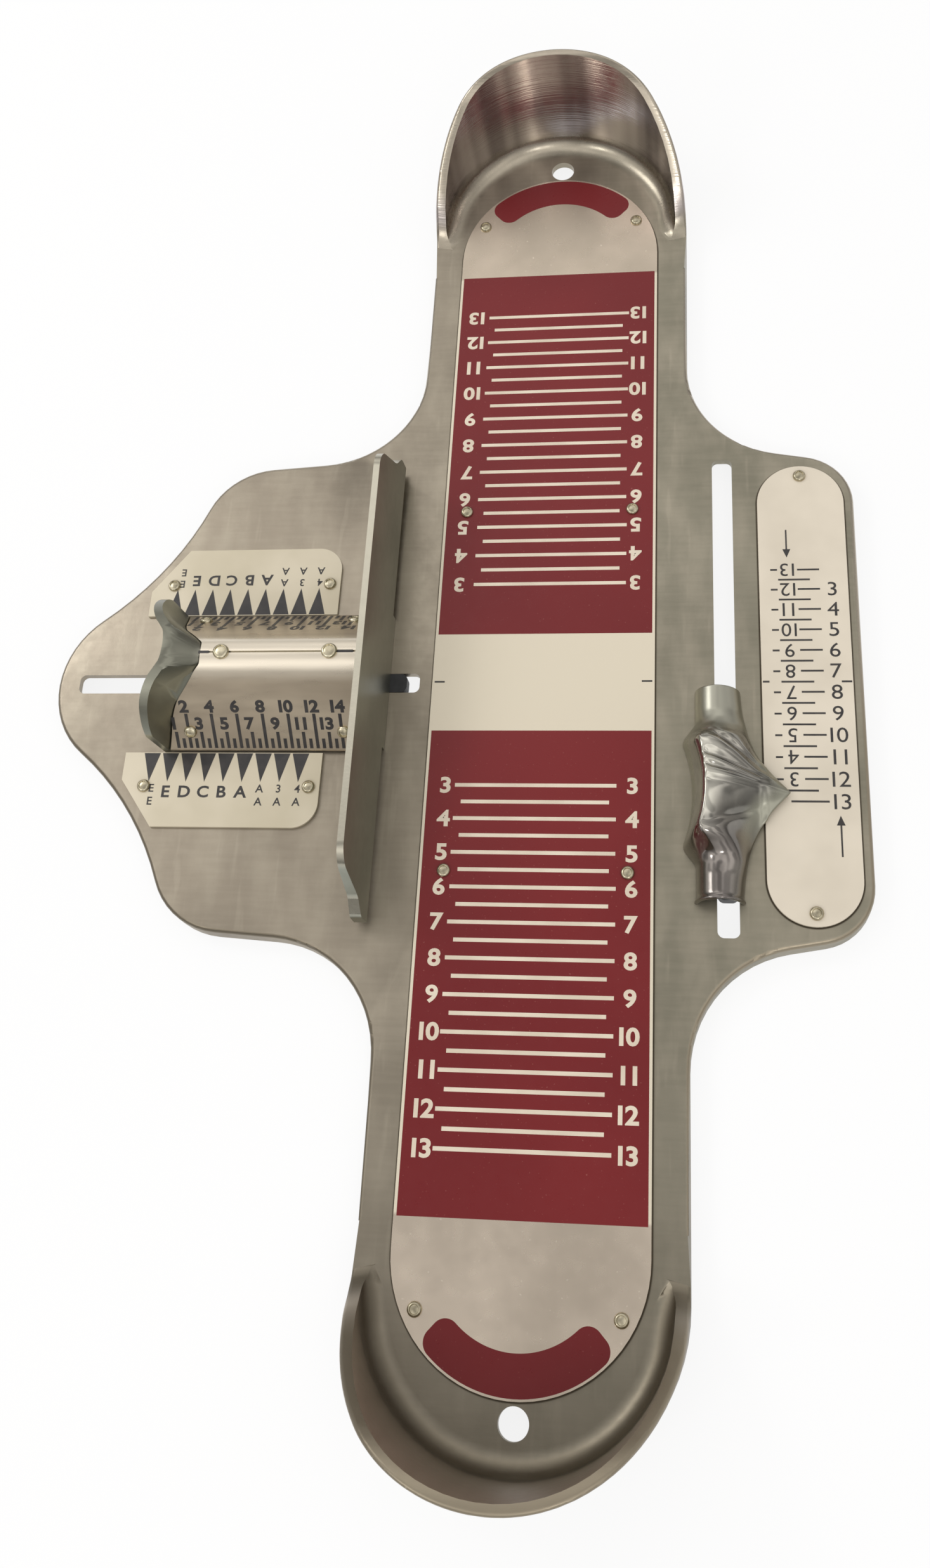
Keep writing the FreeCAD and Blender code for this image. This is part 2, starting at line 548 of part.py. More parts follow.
def build_tray():
    body = new_body("base_plate")
    sketch = sketch_on(body, "Outline", "XY_Plane", bed_top)
    outline(sketch, tray_stops())
    pad(body, sketch, skirt_depth, reverse=True)
    top = float(bed_top)
    fillet(body, lambda edge: edge.BoundBox.ZMin > top - 1e-4, bed_edge_round)

    sketch = sketch_on(body, "Underside", "XY_Plane", floor)
    outline(sketch, tray_stops(skirt_wall))
    pocket(body, sketch, skirt_depth - bed_thick, reverse=True)

    # One heel cup: its wall section swept round the end, then cut to the side view of the rim.
    start = cup_centre - cup_run_out
    section = sketch_on(body, "CupWall", "XZ_Plane", -start)
    hollow_x = stem_half - cup_foot_wall - heel_fillet
    outline(section, [(hollow_x - 1, bed_under), (stem_half, bed_under), (stem_half, cup_height),
                      (stem_half - cup_rim_wall, cup_height),
                      (hollow_x, bed_top + heel_fillet, heel_fillet, -1), (hollow_x - 1, bed_top)])
    spine = sketch_on(body, "CupPath", "XY_Plane", bed_top)
    right = spine.addGeometry(
        Part.LineSegment(Vector(stem_half, start, 0), Vector(stem_half, cup_centre, 0)))
    circle = Part.Circle(Vector(0, cup_centre, 0), Vector(0, 0, 1), float(stem_half))
    back = spine.addGeometry(Part.ArcOfCircle(circle, 0, math.pi))
    left = spine.addGeometry(
        Part.LineSegment(Vector(-stem_half, cup_centre, 0), Vector(-stem_half, start, 0)))
    spine.addConstraint(Sketcher.Constraint("Tangent", right, 2, back, 1))
    spine.addConstraint(Sketcher.Constraint("Tangent", back, 2, left, 1))
    bind(spine, "Radius", (back,), stem_half)
    place(spine, back, 3, zero, cup_centre)
    place(spine, right, 1, stem_half, start)
    place(spine, left, 2, -stem_half, start)
    pipe = body.newObject("PartDesign::AdditivePipe", "CupSweep")
    pipe.Profile = section
    pipe.Spine = (spine, ["Edge1", "Edge2", "Edge3"])
    doc.recompute()
    sketch = sketch_on(body, "CupSide", "YZ_Plane")
    outline(sketch, [(start - 1, bed_top), (lip_start, bed_top),
                     (crown_centre, cup_height - crown_radius, crown_radius, -1),
                     (crown_centre + crown_radius, cup_height),
                     (crown_centre + crown_radius, cup_height + 1),
                     (start - 1, cup_height + 1)])
    pocket(body, sketch, both=True)

    def on_rim(edge):
        """True for the outer edge of the rim."""
        middle = edge.valueAt((edge.FirstParameter + edge.LastParameter) / 2)
        reach = math.hypot(middle.x, max(0.0, middle.y - float(cup_centre)))
        return middle.z > top + 0.3 and abs(middle.z - rim_height(middle.y)) < 1e-3 and (
            abs(reach - float(stem_half)) < 1e-3)

    fillet(body, on_rim, rim_round)
    reflect(body, "XZ_Plane")

    sketch = sketch_on(body, "WidthSlot", "XY_Plane", bed_top)
    outline(sketch, box_stops(-width_slot_far, -width_slot_near, -slot_width / 2, slot_width / 2,
                              slot_corner))
    pocket(body, sketch)
    sketch = sketch_on(body, "ArchSlot", "XY_Plane", bed_top)
    outline(sketch, box_stops(arch_slot_x - slot_width / 2, arch_slot_x + slot_width / 2,
                              -arch_slot_half, arch_slot_half, slot_corner))
    pocket(body, sketch)
    sketch = sketch_on(body, "HangHoles", "XY_Plane", bed_top)
    circles(sketch, [(zero, hang_hole_y), (zero, -hang_hole_y)], hang_hole_radius)
    pocket(body, sketch)
    sketch = sketch_on(body, "RivetHoles", "XY_Plane", bed_top)
    circles(sketch, size_rivets + width_rivets + arch_rivets, rivet_shank + rivet_play)
    pocket(body, sketch)
    return body


# --- printed plates -----------------------------------------------------------------------------
def build_plate(name, stops, spots):
    """A flat sheet on the bed with its rivet holes."""
    body = new_body(name)
    sketch = sketch_on(body, "Outline", "XY_Plane", bed_top)
    outline(sketch, stops)
    pad(body, sketch, plate_thick)
    sketch = sketch_on(body, "RivetHoles", "XY_Plane", zero)
    circles(sketch, spots, rivet_shank + rivet_play)
    pocket(body, sketch)
    return body


def width_plate_stops(side):
    """Side is 1 for the plate towards positive Y. The other plate is its mirror image."""
    stops = [(-width_plate_far, width_plate_inner), (-width_plate_near, width_plate_inner),
             (-(width_plate_near + width_plate_corner), width_plate_outer - width_plate_corner,
              width_plate_corner, 1),
             (-(width_plate_far - width_plate_cut_x), width_plate_outer),
             (-width_plate_far, width_plate_outer - width_plate_cut_y)]
    if side > 0:
        return stops
    return [(x, -y, *arc) for x, y, *arc in reversed(stops)]


def end_round(x, reach, half):
    """A long plate with a half round at each end."""
    return [(x, reach - half, half, 1), (x, half - reach, half, 1)]


def build_rivets(name, x, y, steps):
    """One rivet at x, y through a printed plate and the bed, then its copies."""
    body = new_body(name)
    sketch = sketch_on(body, "Rivet", "XZ_Plane", -y)
    outline(sketch, rivet_stops(x, zero, bed_under, rivet_head, True))
    revolve(body, sketch)
    for kind, *values in steps:
        kind(body, *values)
    return body


# --- width bar ----------------------------------------------------------------------------------
def saddle_stops(wall=zero, foot=casting_foot):
    """Cross section of the saddle, or of the hollow under it."""
    return mirrored([(saddle_half - wall, foot), (saddle_half - wall, slope_foot),
                     (zero, ridge_height - ridge_radius, ridge_radius - wall, 1)], "y")


# Plan outlines of the grip's inner face: height, ends, bow, bend, and its hollow flanks.
grip_levels = [
    (casting_foot, grip_end, grip_low_bow, grip_low_bend,
     grip_low_hollow_x, grip_low_hollow_y, grip_low_hollow),
    (grip_mid_height, grip_end + grip_mid_lean, grip_mid_bow, grip_mid_bend,
     grip_mid_hollow_x, grip_mid_hollow_y, grip_mid_hollow),
    (grip_draw, grip_end + grip_high_lean, grip_high_bow, grip_high_bend,
     grip_high_hollow_x, grip_high_hollow_y, grip_high_hollow)]


def grip_faces(body, wall, shift, back, side):
    """The face of the grip as outlines for a loft, closed behind it. The face bows towards the foot on the
    ridge line and has hollow flanks. A wall gives the thumb's side, a shift moves it towards the foot."""
    faces = []
    for height, end, bow, bend, hollow_x, hollow_y, hollow in grip_levels:
        sketch = sketch_on(body, "GripFace", "XY_Plane", height)
        end_x = shift - end - wall
        flank_x = shift + hollow_x - end
        outline(sketch, [(end_x, -side), (flank_x, -hollow_y, hollow + wall, -1),
                         (shift + bow - end - bend, zero, bend - wall, 1),
                         (flank_x, hollow_y, hollow + wall, -1), (end_x, side),
                         (-back, side), (-back, -side)])
        faces.append(sketch)
    return faces


def build_width_bar():
    body = new_body("width_bar")
    sketch = sketch_on(body, "Saddle", "YZ_Plane", -fence_back)
    outline(sketch, saddle_stops())
    pad(body, sketch, grip_back - fence_back, reverse=True)
    sketch = sketch_on(body, "Hollow", "YZ_Plane", -fence_back)
    outline(sketch, saddle_stops(saddle_wall))
    pocket(body, sketch)

    # Thumb grip: a solid lofted behind its inner face, topped by an arc, then scooped out behind.
    loft(body, "AdditiveLoft", grip_faces(body, zero, zero, grip_back, grip_half), ruled=True)
    sketch = sketch_on(body, "GripTop", "YZ_Plane", -fence_back)
    crown_z = grip_height - grip_crown
    side = grip_crown + 1
    outline(sketch, [(side, grip_draw), (-side, grip_draw), (-side, crown_z - 1),
                     (-grip_crown, crown_z - 1),
                     (zero, crown_z, grip_crown, -1), (grip_crown, crown_z - 1), (side, crown_z - 1)])
    pocket(body, sketch)
    loft(body, "SubtractiveLoft", grip_faces(body, grip_wall, zero, grip_back + 1, grip_half + 1),
         ruled=True)

    # Fence: a long upright wing across the front of the saddle, thinner towards its top.
    sketch = sketch_on(body, "Fence", "YZ_Plane", -fence_face)
    outline(sketch, mirrored([
        (saddle_half, casting_foot), (saddle_half, fence_lift), (fence_half, fence_lift),
        (fence_half - fence_end_round, fence_end_height - fence_end_round, fence_end_round, 1),
        (fence_dip_y, fence_dip_z, fence_dip_radius, -1),
        (fence_top_y, fence_height - fence_top_round, fence_top_round, 1)], "y"))
    pad(body, sketch, fence_foot_thick, reverse=True)
    sketch = sketch_on(body, "FenceTaper", "XZ_Plane")
    top_x = fence_face + fence_foot_thick - fence_top_thick
    outline(sketch, [(-fence_face, casting_foot), (1 - fence_face, casting_foot),
                     (1 - fence_face, fence_height + 1), (-top_x, fence_height + 1),
                     (-top_x, fence_height)])
    pocket(body, sketch, both=True)

    # Bosses under the ridge and the screw holes in them.
    sketch = sketch_on(body, "Bosses", "XY_Plane", casting_foot)
    circles(sketch, [(-width_screw_front, zero), (-width_screw_back, zero)], boss_radius)
    pad(body, sketch, ridge_height - boss_cover - casting_foot)
    sketch = sketch_on(body, "ScrewHoles", "XY_Plane", casting_foot)
    circles(sketch, [(-width_screw_front, zero), (-width_screw_back, zero)], screw_shank + screw_play)
    pocket(body, sketch, screw_bite + 1, reverse=True)

    # Holes for the rivets that hold the printed sheets.
    sketch = sketch_on(body, "RidgeRivetHoles", "XY_Plane", grip_draw)
    circles(sketch, [(-ridge_rivet_far, zero), (-ridge_rivet_near, zero)], rivet_shank + rivet_play)
    pocket(body, sketch, grip_draw - ridge_height + saddle_wall + 1)
    for side in (1, -1):
        sketch = slope_sketch(body, side)
        pocket(body, sketch, saddle_wall + 1)
    return body


def slope_sketch(body, side):
    """The rivet holes of one slope, drawn on the face of the saddle. Side is the sign of their Y."""
    sketch = sketch_on(body, "SlopeRivetHoles", "XY_Plane", slope_foot, side * saddle_half, side)
    up = -side * edge_rivet_up
    circles(sketch, [(-edge_rivet_far, up), (-edge_rivet_near, up)], rivet_shank + rivet_play)
    return sketch


def build_table(name, side):
    """A printed sheet bent over one slope of the saddle and half of its ridge."""
    body = new_body(name)
    start = fence_back + table_gap
    ridge_z = ridge_height - ridge_radius
    outer = table_seat + table_thick
    stops = [(saddle_half + outer, slope_foot - table_hem), (saddle_half, slope_foot, outer, 1),
             (zero, ridge_z, ridge_radius + outer, 1), (zero - 1, ridge_height + outer),
             (zero - 1, ridge_height + table_seat), (zero, ridge_z, ridge_radius + table_seat, -1),
             (saddle_half, slope_foot, table_seat, -1), (saddle_half + table_seat, slope_foot - table_hem)]
    slit = box_stops(zero - 2, table_slit / 2, ridge_z, ridge_height + 2)
    if side < 0:
        stops = [(-x, y, *arc) for x, y, *arc in reversed(stops)]
        slit = [(-x, y) for x, y in reversed(slit)]
    sketch = sketch_on(body, "Sheet", "YZ_Plane", -start)
    outline(sketch, stops)
    pad(body, sketch, grip_back - start, reverse=True)
    sketch = sketch_on(body, "Slit", "YZ_Plane", -start)
    outline(sketch, slit)
    pocket(body, sketch)
    loft(body, "SubtractiveLoft", grip_faces(body, zero, table_gap, grip_back + 1, grip_half), ruled=True)
    sketch = sketch_on(body, "RidgeRivetHoles", "XY_Plane", grip_draw)
    circles(sketch, [(-ridge_rivet_far, zero), (-ridge_rivet_near, zero)], rivet_shank + rivet_play)
    pocket(body, sketch, grip_draw - ridge_z)
    sketch = slope_sketch(body, side)
    pocket(body, sketch, outer + 1, reverse=True)
    return body


def build_ridge_rivets():
    """The two rivets on the ridge line, over the slit between the sheets."""
    body = new_body("ridge_rivets")
    sketch = sketch_on(body, "Rivet", "XZ_Plane")
    top = ridge_height + table_seat + table_thick
    outline(sketch, rivet_stops(-ridge_rivet_far, top, ridge_height - saddle_wall, ridge_rivet_head, False))
    revolve(body, sketch)
    repeat(body, "X_Axis", ridge_rivet_far - ridge_rivet_near)
    return body


def build_edge_rivets():
    """The four rivets near the lower edges of the sheets, square to the slopes."""
    body = new_body("table_rivets")
    y = saddle_half - edge_rivet_up * slope_cos
    z = slope_foot + edge_rivet_up * slope_sin
    sketch = sketch_on(body, "Rivet", "XZ_Plane", -y, z, 1)
    outline(sketch, rivet_stops(-edge_rivet_far, table_seat + table_thick, -saddle_wall, rivet_head, False))
    revolve(body, sketch)
    repeat(body, "X_Axis", edge_rivet_far - edge_rivet_near)
    reflect(body, "XZ_Plane")
    return body


# --- parts that ride in the slots ---------------------------------------------------------------
def build_block(name, edges, foot, thickness, corner, spots):
    """A flat part with rounded corners and the two screw holes: a guide block or a retainer plate."""
    body = new_body(name)
    sketch = sketch_on(body, "Outline", "XY_Plane", foot)
    outline(sketch, box_stops(*edges, corner))
    pad(body, sketch, thickness)
    sketch = sketch_on(body, "ScrewHoles", "XY_Plane", foot + thickness)
    circles(sketch, spots, screw_shank + screw_play)
    pocket(body, sketch)
    return body


def build_spring(name, plane, middle, start, length, reverse, spots):
    """Spring strip clamped under a guide block, with two wings that press up against the bed."""
    body = new_body(name)
    sketch = sketch_on(body, "Section", plane, start)
    tip = bed_under - spring_gap
    outline(sketch, [(middle - spring_flat, spring_foot), (middle + spring_flat, spring_foot),
                     (middle + spring_half, tip - spring_thick), (middle + spring_half, tip),
                     (middle + spring_flat, block_foot), (middle - spring_flat, block_foot),
                     (middle - spring_half, tip), (middle - spring_half, tip - spring_thick)])
    pad(body, sketch, length, reverse=reverse)
    sketch = sketch_on(body, "ScrewHoles", "XY_Plane", block_foot)
    circles(sketch, spots, screw_shank + screw_play)
    pocket(body, sketch)
    return body


def build_screws(name, x, y, axis, pitch):
    """Two pan-head screws from below: retainer plate, spring, guide block, casting."""
    body = new_body(name)
    sketch = sketch_on(body, "Screw", "XZ_Plane", -y)
    head_foot = retainer_foot - screw_head_deep
    tip = casting_foot + screw_bite
    outline(sketch, [(x, head_foot),
                     (x + screw_head - screw_round, head_foot + screw_round, screw_round, 1),
                     (x + screw_head, retainer_foot), (x + screw_shank, retainer_foot),
                     (x + screw_shank, tip), (x, tip)])
    revolve(body, sketch)
    repeat(body, axis, pitch)
    return body


# --- arch pointer -------------------------------------------------------------------------------
def tunnel_stops(wall=zero):
    """Half-round section of the pointer's ends, or of the hollow in them."""
    x = arch_slot_x - tunnel_shift
    half = tunnel_half - wall
    return [(x + half, casting_foot), (x, tunnel_height - tunnel_half, half, 1), (x - half, casting_foot)]


def hump_stops(out, far, side, top, rounding):
    """Cross section of the hump: steep towards the foot, sloping down to the scale."""
    left, right = arch_slot_x - out, arch_slot_x + far
    return [(left, casting_foot), (right, casting_foot), (right, casting_foot + side),
            (left + rounding, top - rounding, rounding, 1)]


def build_pointer():
    body = new_body("arch_pointer")
    end = pointer_y + tunnel_length
    sketch = sketch_on(body, "Tunnel", "XZ_Plane", -end)
    outline(sketch, tunnel_stops())
    pad(body, sketch, 2 * tunnel_length)

    stations = [(root_y, tunnel_half + tunnel_shift, tunnel_half - tunnel_shift, side_top, tunnel_height,
                 tunnel_half),
                (shoulder_y, shoulder_out, shoulder_far, side_top, shoulder_top, shoulder_round),
                (wing_y, wing_out, wing_far, side_top, wing_top, wing_round),
                (brow_y, brow_out, brow_far, side_top, brow_top, brow_round),
                (cheek_y, cheek_out, cheek_far, side_top, cheek_top, cheek_round),
                (beak_y, hump_out, beak_far, beak_side, hump_top, hump_round)]
    middle = (zero, hump_out, tip_far, tip_top - casting_foot, hump_top, hump_round)
    back = [(-station[0], *station[1:]) for station in reversed(stations)]
    sections = []
    for away, *shape in stations + [middle] + back:
        section = sketch_on(body, "HumpSection", "XZ_Plane", -(pointer_y + away))
        outline(section, hump_stops(*shape))
        sections.append(section)
    loft(body, "AdditiveLoft", sections, ruled=True)

    # The hollow for the joint of the foot, and three flutes that run together at the tip.
    sketch = sketch_on(body, "Scoop", "XZ_Plane", -pointer_y)
    axis_x = arch_slot_x - scoop_centre
    outline(sketch, [(axis_x, casting_foot - 1), (axis_x + scoop_foot, casting_foot - 1),
                     (axis_x + scoop_top, hump_top + 1), (axis_x, hump_top + 1)])
    revolve(body, sketch, "Groove")
    tip = Vector(arch_slot_x + tip_far, pointer_y, tip_top + flute_radius / 2)
    for step in (-1, 0, 1):
        rim = Vector(arch_slot_x - hump_out, pointer_y + step * flute_pitch, hump_top + flute_radius / 2)
        flute = body.newObject("PartDesign::SubtractiveCone", "Flute")
        flute.setExpression("Radius1", text_of(flute_radius))
        flute.setExpression("Radius2", text_of(flute_end))
        flute.Height = (tip - rim).Length
        flute.Placement = Placement(rim, Rotation(Vector(0, 0, 1), tip - rim))
        doc.recompute()

    sketch = sketch_on(body, "PlateClearance", "XZ_Plane", -pointer_y)
    outline(sketch, box_stops(arch_plate_x - arch_plate_half - tip_lift, arch_plate_x,
                              casting_foot - 1, tip_lift))
    pocket(body, sketch, both=True)

    solid = arch_screw_half - tunnel_web
    sketch = sketch_on(body, "EndHollow", "XZ_Plane", -end)
    outline(sketch, tunnel_stops(tunnel_wall))
    pocket(body, sketch, tunnel_length - arch_screw_half - tunnel_web, reverse=True)
    sketch = sketch_on(body, "MiddleHollow", "XZ_Plane", -(pointer_y + solid))
    outline(sketch, tunnel_stops(tunnel_wall))
    pocket(body, sketch, 2 * solid, reverse=True)
    sketch = sketch_on(body, "FarEndHollow", "XZ_Plane", -(pointer_y - tunnel_length))
    outline(sketch, tunnel_stops(tunnel_wall))
    pocket(body, sketch, tunnel_length - arch_screw_half - tunnel_web)
    sketch = sketch_on(body, "ScrewHoles", "XY_Plane", casting_foot)
    circles(sketch, arch_screws, screw_shank + screw_play)
    pocket(body, sketch, screw_bite + screw_play, reverse=True)
    return body


# --- build every piece --------------------------------------------------------------------------
width_screws = [(-width_screw_front, zero), (-width_screw_back, zero)]
arch_screws = [(arch_slot_x, pointer_y + arch_screw_half), (arch_slot_x, pointer_y - arch_screw_half)]
block_height = casting_foot - block_foot

pieces = [
    build_tray(),
    build_plate("size_plate", end_round(zero, size_plate_centre + size_plate_half, size_plate_half),
                size_rivets),
    build_rivets("size_plate_rivets", size_rivet_x, size_rivet_middle,
                 [(repeat, "Y_Axis", size_rivet_end - size_rivet_middle), (reflect, "YZ_Plane"),
                  (reflect, "XZ_Plane")]),
    build_plate("width_plate_left", width_plate_stops(-1), [spot for spot in width_rivets if spot[1] < 0]),
    build_plate("width_plate_right", width_plate_stops(1), [spot for spot in width_rivets if spot[1] > 0]),
    build_rivets("width_plate_rivets", -width_rivet_far, width_rivet_y,
                 [(repeat, "X_Axis", width_rivet_far - width_rivet_near), (reflect, "XZ_Plane")]),
    build_plate("arch_plate", end_round(arch_plate_x, arch_plate_reach, arch_plate_half), arch_rivets),
    build_rivets("arch_plate_rivets", arch_plate_x, arch_rivet_y, [(reflect, "XZ_Plane")]),
    build_width_bar(),
    build_table("width_table_left", -1),
    build_table("width_table_right", 1),
    build_ridge_rivets(),
    build_edge_rivets(),
    build_block("width_guide_block", (-width_block_back, -width_block_front, -block_half, block_half),
                block_foot, block_height, slot_corner, width_screws),
    build_spring("width_friction_spring", "YZ_Plane", zero, -(width_block_front + retainer_inset),
                 width_block_back - width_block_front - 2 * retainer_inset, True, width_screws),
    build_block("width_retainer_plate",
                (retainer_inset - width_block_back, -(width_block_front + retainer_inset),
                 -retainer_half, retainer_half), retainer_foot, retainer_thick, slot_corner, width_screws),
    build_screws("width_screws", -width_screw_back, zero, "X_Axis", width_screw_back - width_screw_front),
    build_pointer(),
    build_block("arch_guide_block", (arch_slot_x - block_half, arch_slot_x + block_half,
                                     pointer_y - arch_block_half, pointer_y + arch_block_half),
                block_foot, block_height, slot_corner, arch_screws),
    build_spring("arch_friction_spring", "XZ_Plane", arch_slot_x,
                 -(pointer_y + arch_block_half - retainer_inset),
                 2 * (arch_block_half - retainer_inset), False, arch_screws),
    build_block("arch_retainer_plate",
                (arch_slot_x - retainer_half, arch_slot_x + retainer_half,
                 pointer_y - arch_block_half + retainer_inset,
                 pointer_y + arch_block_half - retainer_inset),
                retainer_foot, retainer_thick, slot_corner, arch_screws),
    build_screws("arch_screws", arch_slot_x, pointer_y - arch_screw_half, "Y_Axis", 2 * arch_screw_half),
]

# --- check and write ----------------------------------------------------------------------------
doc.recompute()
for item in doc.Objects:
    if "Invalid" in item.State or "Error" in item.State:
        raise RuntimeError(f"{item.Label} is {item.State}")
    if item.TypeId == "Sketcher::SketchObject" and not item.FullyConstrained:
        raise RuntimeError(f"sketch {item.Label} is not fully constrained")
os.makedirs("parts", exist_ok=True)
for piece in pieces:
    if piece.Shape.isNull() or not piece.Shape.isValid() or not piece.Shape.Solids:
        raise RuntimeError(f"{piece.Label} has no valid solid")
    piece.Shape.exportStep(f"parts/{piece.Label}.step")
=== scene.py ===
import math

import bmesh
import bpy
from mathutils import Matrix, Vector


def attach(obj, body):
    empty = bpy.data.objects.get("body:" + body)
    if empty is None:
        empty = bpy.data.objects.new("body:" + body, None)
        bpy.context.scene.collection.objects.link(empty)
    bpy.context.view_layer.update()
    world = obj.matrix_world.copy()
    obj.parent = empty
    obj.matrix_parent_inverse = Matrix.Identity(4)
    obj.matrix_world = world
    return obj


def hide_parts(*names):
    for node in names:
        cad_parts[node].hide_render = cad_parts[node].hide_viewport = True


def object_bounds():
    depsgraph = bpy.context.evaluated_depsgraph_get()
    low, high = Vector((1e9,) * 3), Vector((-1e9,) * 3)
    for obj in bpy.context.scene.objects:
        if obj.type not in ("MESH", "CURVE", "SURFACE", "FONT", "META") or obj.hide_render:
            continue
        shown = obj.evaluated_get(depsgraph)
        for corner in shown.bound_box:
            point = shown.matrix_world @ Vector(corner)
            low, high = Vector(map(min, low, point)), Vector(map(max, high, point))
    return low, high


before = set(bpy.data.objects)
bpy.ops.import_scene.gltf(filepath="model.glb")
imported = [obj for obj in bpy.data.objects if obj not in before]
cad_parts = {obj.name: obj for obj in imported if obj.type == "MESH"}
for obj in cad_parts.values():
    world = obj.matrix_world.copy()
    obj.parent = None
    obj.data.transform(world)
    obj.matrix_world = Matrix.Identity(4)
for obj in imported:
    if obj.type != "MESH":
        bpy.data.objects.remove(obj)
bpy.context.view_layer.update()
scene = bpy.context.scene

# The tray is one sand casting in aluminium alloy: a bed with two lobes and a heel cup at each end. It is
# tumbled to a warm satin grey. The cups are buffed round by hand, and use has rubbed every rim bright; the
# rims also carry a painted highlight, and the cups painted reflections and shade.
MM = 0.001


class Wire:
    """One socket of a shader, and the tree it is in. Sums on wires add the Math nodes for them."""

    def __init__(self, tree, socket=None):
        self.tree = tree
        self.socket = socket

    def fill(self, node, sockets):
        """Gives the sockets of a node their values or wires."""
        for name, value in sockets.items():
            if isinstance(value, Wire):
                self.tree.links.new(value.socket, node.inputs[name])
            else:
                node.inputs[name].default_value = value

    def node(self, kind, settings, sockets, out=0):
        """Adds a node, sets its settings, fills its sockets and returns one of its outputs."""
        made = self.tree.nodes.new(kind)
        for name, value in settings.items():
            setattr(made, name, value)
        self.fill(made, sockets)
        return Wire(self.tree, made.outputs[out])

    def calc(self, operation, *others):
        """A Math node on this wire and the others."""
        return self.node("ShaderNodeMath", {"operation": operation}, dict(enumerate((self, *others))))

    def __add__(self, other):
        return self.calc("ADD", other)

    def __sub__(self, other):
        return self.calc("SUBTRACT", other)

    def __rsub__(self, other):
        return self.calc("MULTIPLY_ADD", -1, other)

    def __mul__(self, other):
        return self.calc("MULTIPLY", other)

    def __abs__(self):
        return self.calc("ABSOLUTE")

    __radd__ = __add__
    __rmul__ = __mul__

    def rise(self, start, end):
        """0 up to start, 1 from end on, and a smooth rise between."""
        return self.node("ShaderNodeMapRange", {"interpolation_type": "SMOOTHSTEP"},
                         {"Value": self, "From Min": start, "From Max": end})

    def tint(self, low, high):
        """The colour low where this is 0 and high where it is 1."""
        return self.node("ShaderNodeMix", {"data_type": "RGBA"}, {0: self, 6: low, 7: high}, 2)

    def axis(self, letter):
        """X, Y or Z of a vector."""
        return self.node("ShaderNodeSeparateXYZ", {}, {0: self}, "XYZ".index(letter))

    def cloud(self, size, detail=3.0, stretch=(1, 1, 1)):
        """Soft noise about 0.5 with blotches of about that size, stretched along the axes."""
        spot = self.node("ShaderNodeVectorMath", {"operation": "DIVIDE"}, {0: self, 1: stretch})
        return self.node("ShaderNodeTexNoise", {}, {"Vector": spot, "Scale": 1 / size, "Detail": detail})

    def mottle(self, size, low, high, detail=3.0, stretch=(1, 1, 1)):
        """A colour that wanders between two in blotches of about that size."""
        return self.cloud(size, detail, stretch).rise(0.3, 0.7).tint(low, high)

    def relief(self, depth):
        """A normal from heights of 0 to 1 that are depth millimetres deep."""
        return self.node("ShaderNodeBump", {}, {"Height": self, "Strength": 1.0, "Distance": depth * MM})


def colour(red, green, blue):
    """A colour from its screen values of 0 to 255."""
    return tuple(((c / 255 + 0.055) / 1.055) ** 2.4 for c in (red, green, blue)) + (1.0,)


def finish(name, describe):
    """A surface finish. describe takes the place on the piece in millimetres and the way the surface faces,
    and returns the shader's inputs."""
    material = bpy.data.materials.new(name)
    material.use_nodes = True
    tree = material.node_tree
    surface = next(node for node in tree.nodes if node.type == "BSDF_PRINCIPLED")
    start = Wire(tree)
    place = start.node("ShaderNodeTexCoord", {}, {}, "Object")
    place = start.node("ShaderNodeVectorMath", {"operation": "SCALE"}, {0: place, "Scale": 1 / MM})
    start.fill(surface, describe(place, start.node("ShaderNodeTexCoord", {}, {}, "Normal")))
    return material


def box_of(node):
    """The lowest and the highest corner of a solid's box, in millimetres."""
    places = [vertex.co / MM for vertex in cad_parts[node].data.vertices]
    return [Vector([pick(place[i] for place in places) for i in range(3)]) for pick in (min, max)]


def fit(name, mesh, body, material):
    """Puts a finished mesh on a body of the device."""
    piece = bpy.data.objects.new(name, mesh)
    scene.collection.objects.link(piece)
    mesh.materials.clear()
    mesh.materials.append(material)
    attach(piece, body)
    return piece


weld = 0.002
nearly_flat = math.radians(0.5)
sharp = math.radians(50)


def dress(node, body, material, crease=28, rounding=0.0, ease=None):
    """The node's own solid with smooth curves, and its sharp edges rounded by so many millimetres. Edges
    of more than crease degrees stay hard, and ease reshapes the solid first."""
    shape = bmesh.new()
    shape.from_mesh(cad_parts[node].data)
    bmesh.ops.remove_doubles(shape, verts=shape.verts, dist=weld * MM)
    if ease:
        ease(shape)
    if rounding:
        bmesh.ops.dissolve_limit(shape, angle_limit=nearly_flat, verts=shape.verts, edges=shape.edges)
        corners = [edge for edge in shape.edges if edge.calc_face_angle(0) > sharp]
        bmesh.ops.bevel(shape, geom=corners, offset=rounding * MM, offset_type="OFFSET", affect="EDGES",
                        segments=3, profile=0.5, material=-1, clamp_overlap=True)
    for face in shape.faces:
        face.smooth = True
    for edge in shape.edges:
        edge.smooth = edge.calc_face_angle(0) < math.radians(crease)
    mesh = bpy.data.meshes.new(node + "_dressed")
    shape.to_mesh(mesh)
    shape.free()
    piece = fit(node + "_dressed", mesh, body, material)
    if rounding:
        flats = piece.modifiers.new("flat faces", "WEIGHTED_NORMAL")
        flats.keep_sharp = True
    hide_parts(node)


plate_half = box_of("size_plate")[1].x
plate_end_y = 132.9
arch_plate_low, arch_plate_high = box_of("arch_plate")
arch_plate_x = (arch_plate_low.x + arch_plate_high.x) / 2
arch_plate_half = arch_plate_high.x - arch_plate_x
arch_plate_end_y = arch_plate_high.y - arch_plate_half
joint_shade = colour(74, 67, 56)


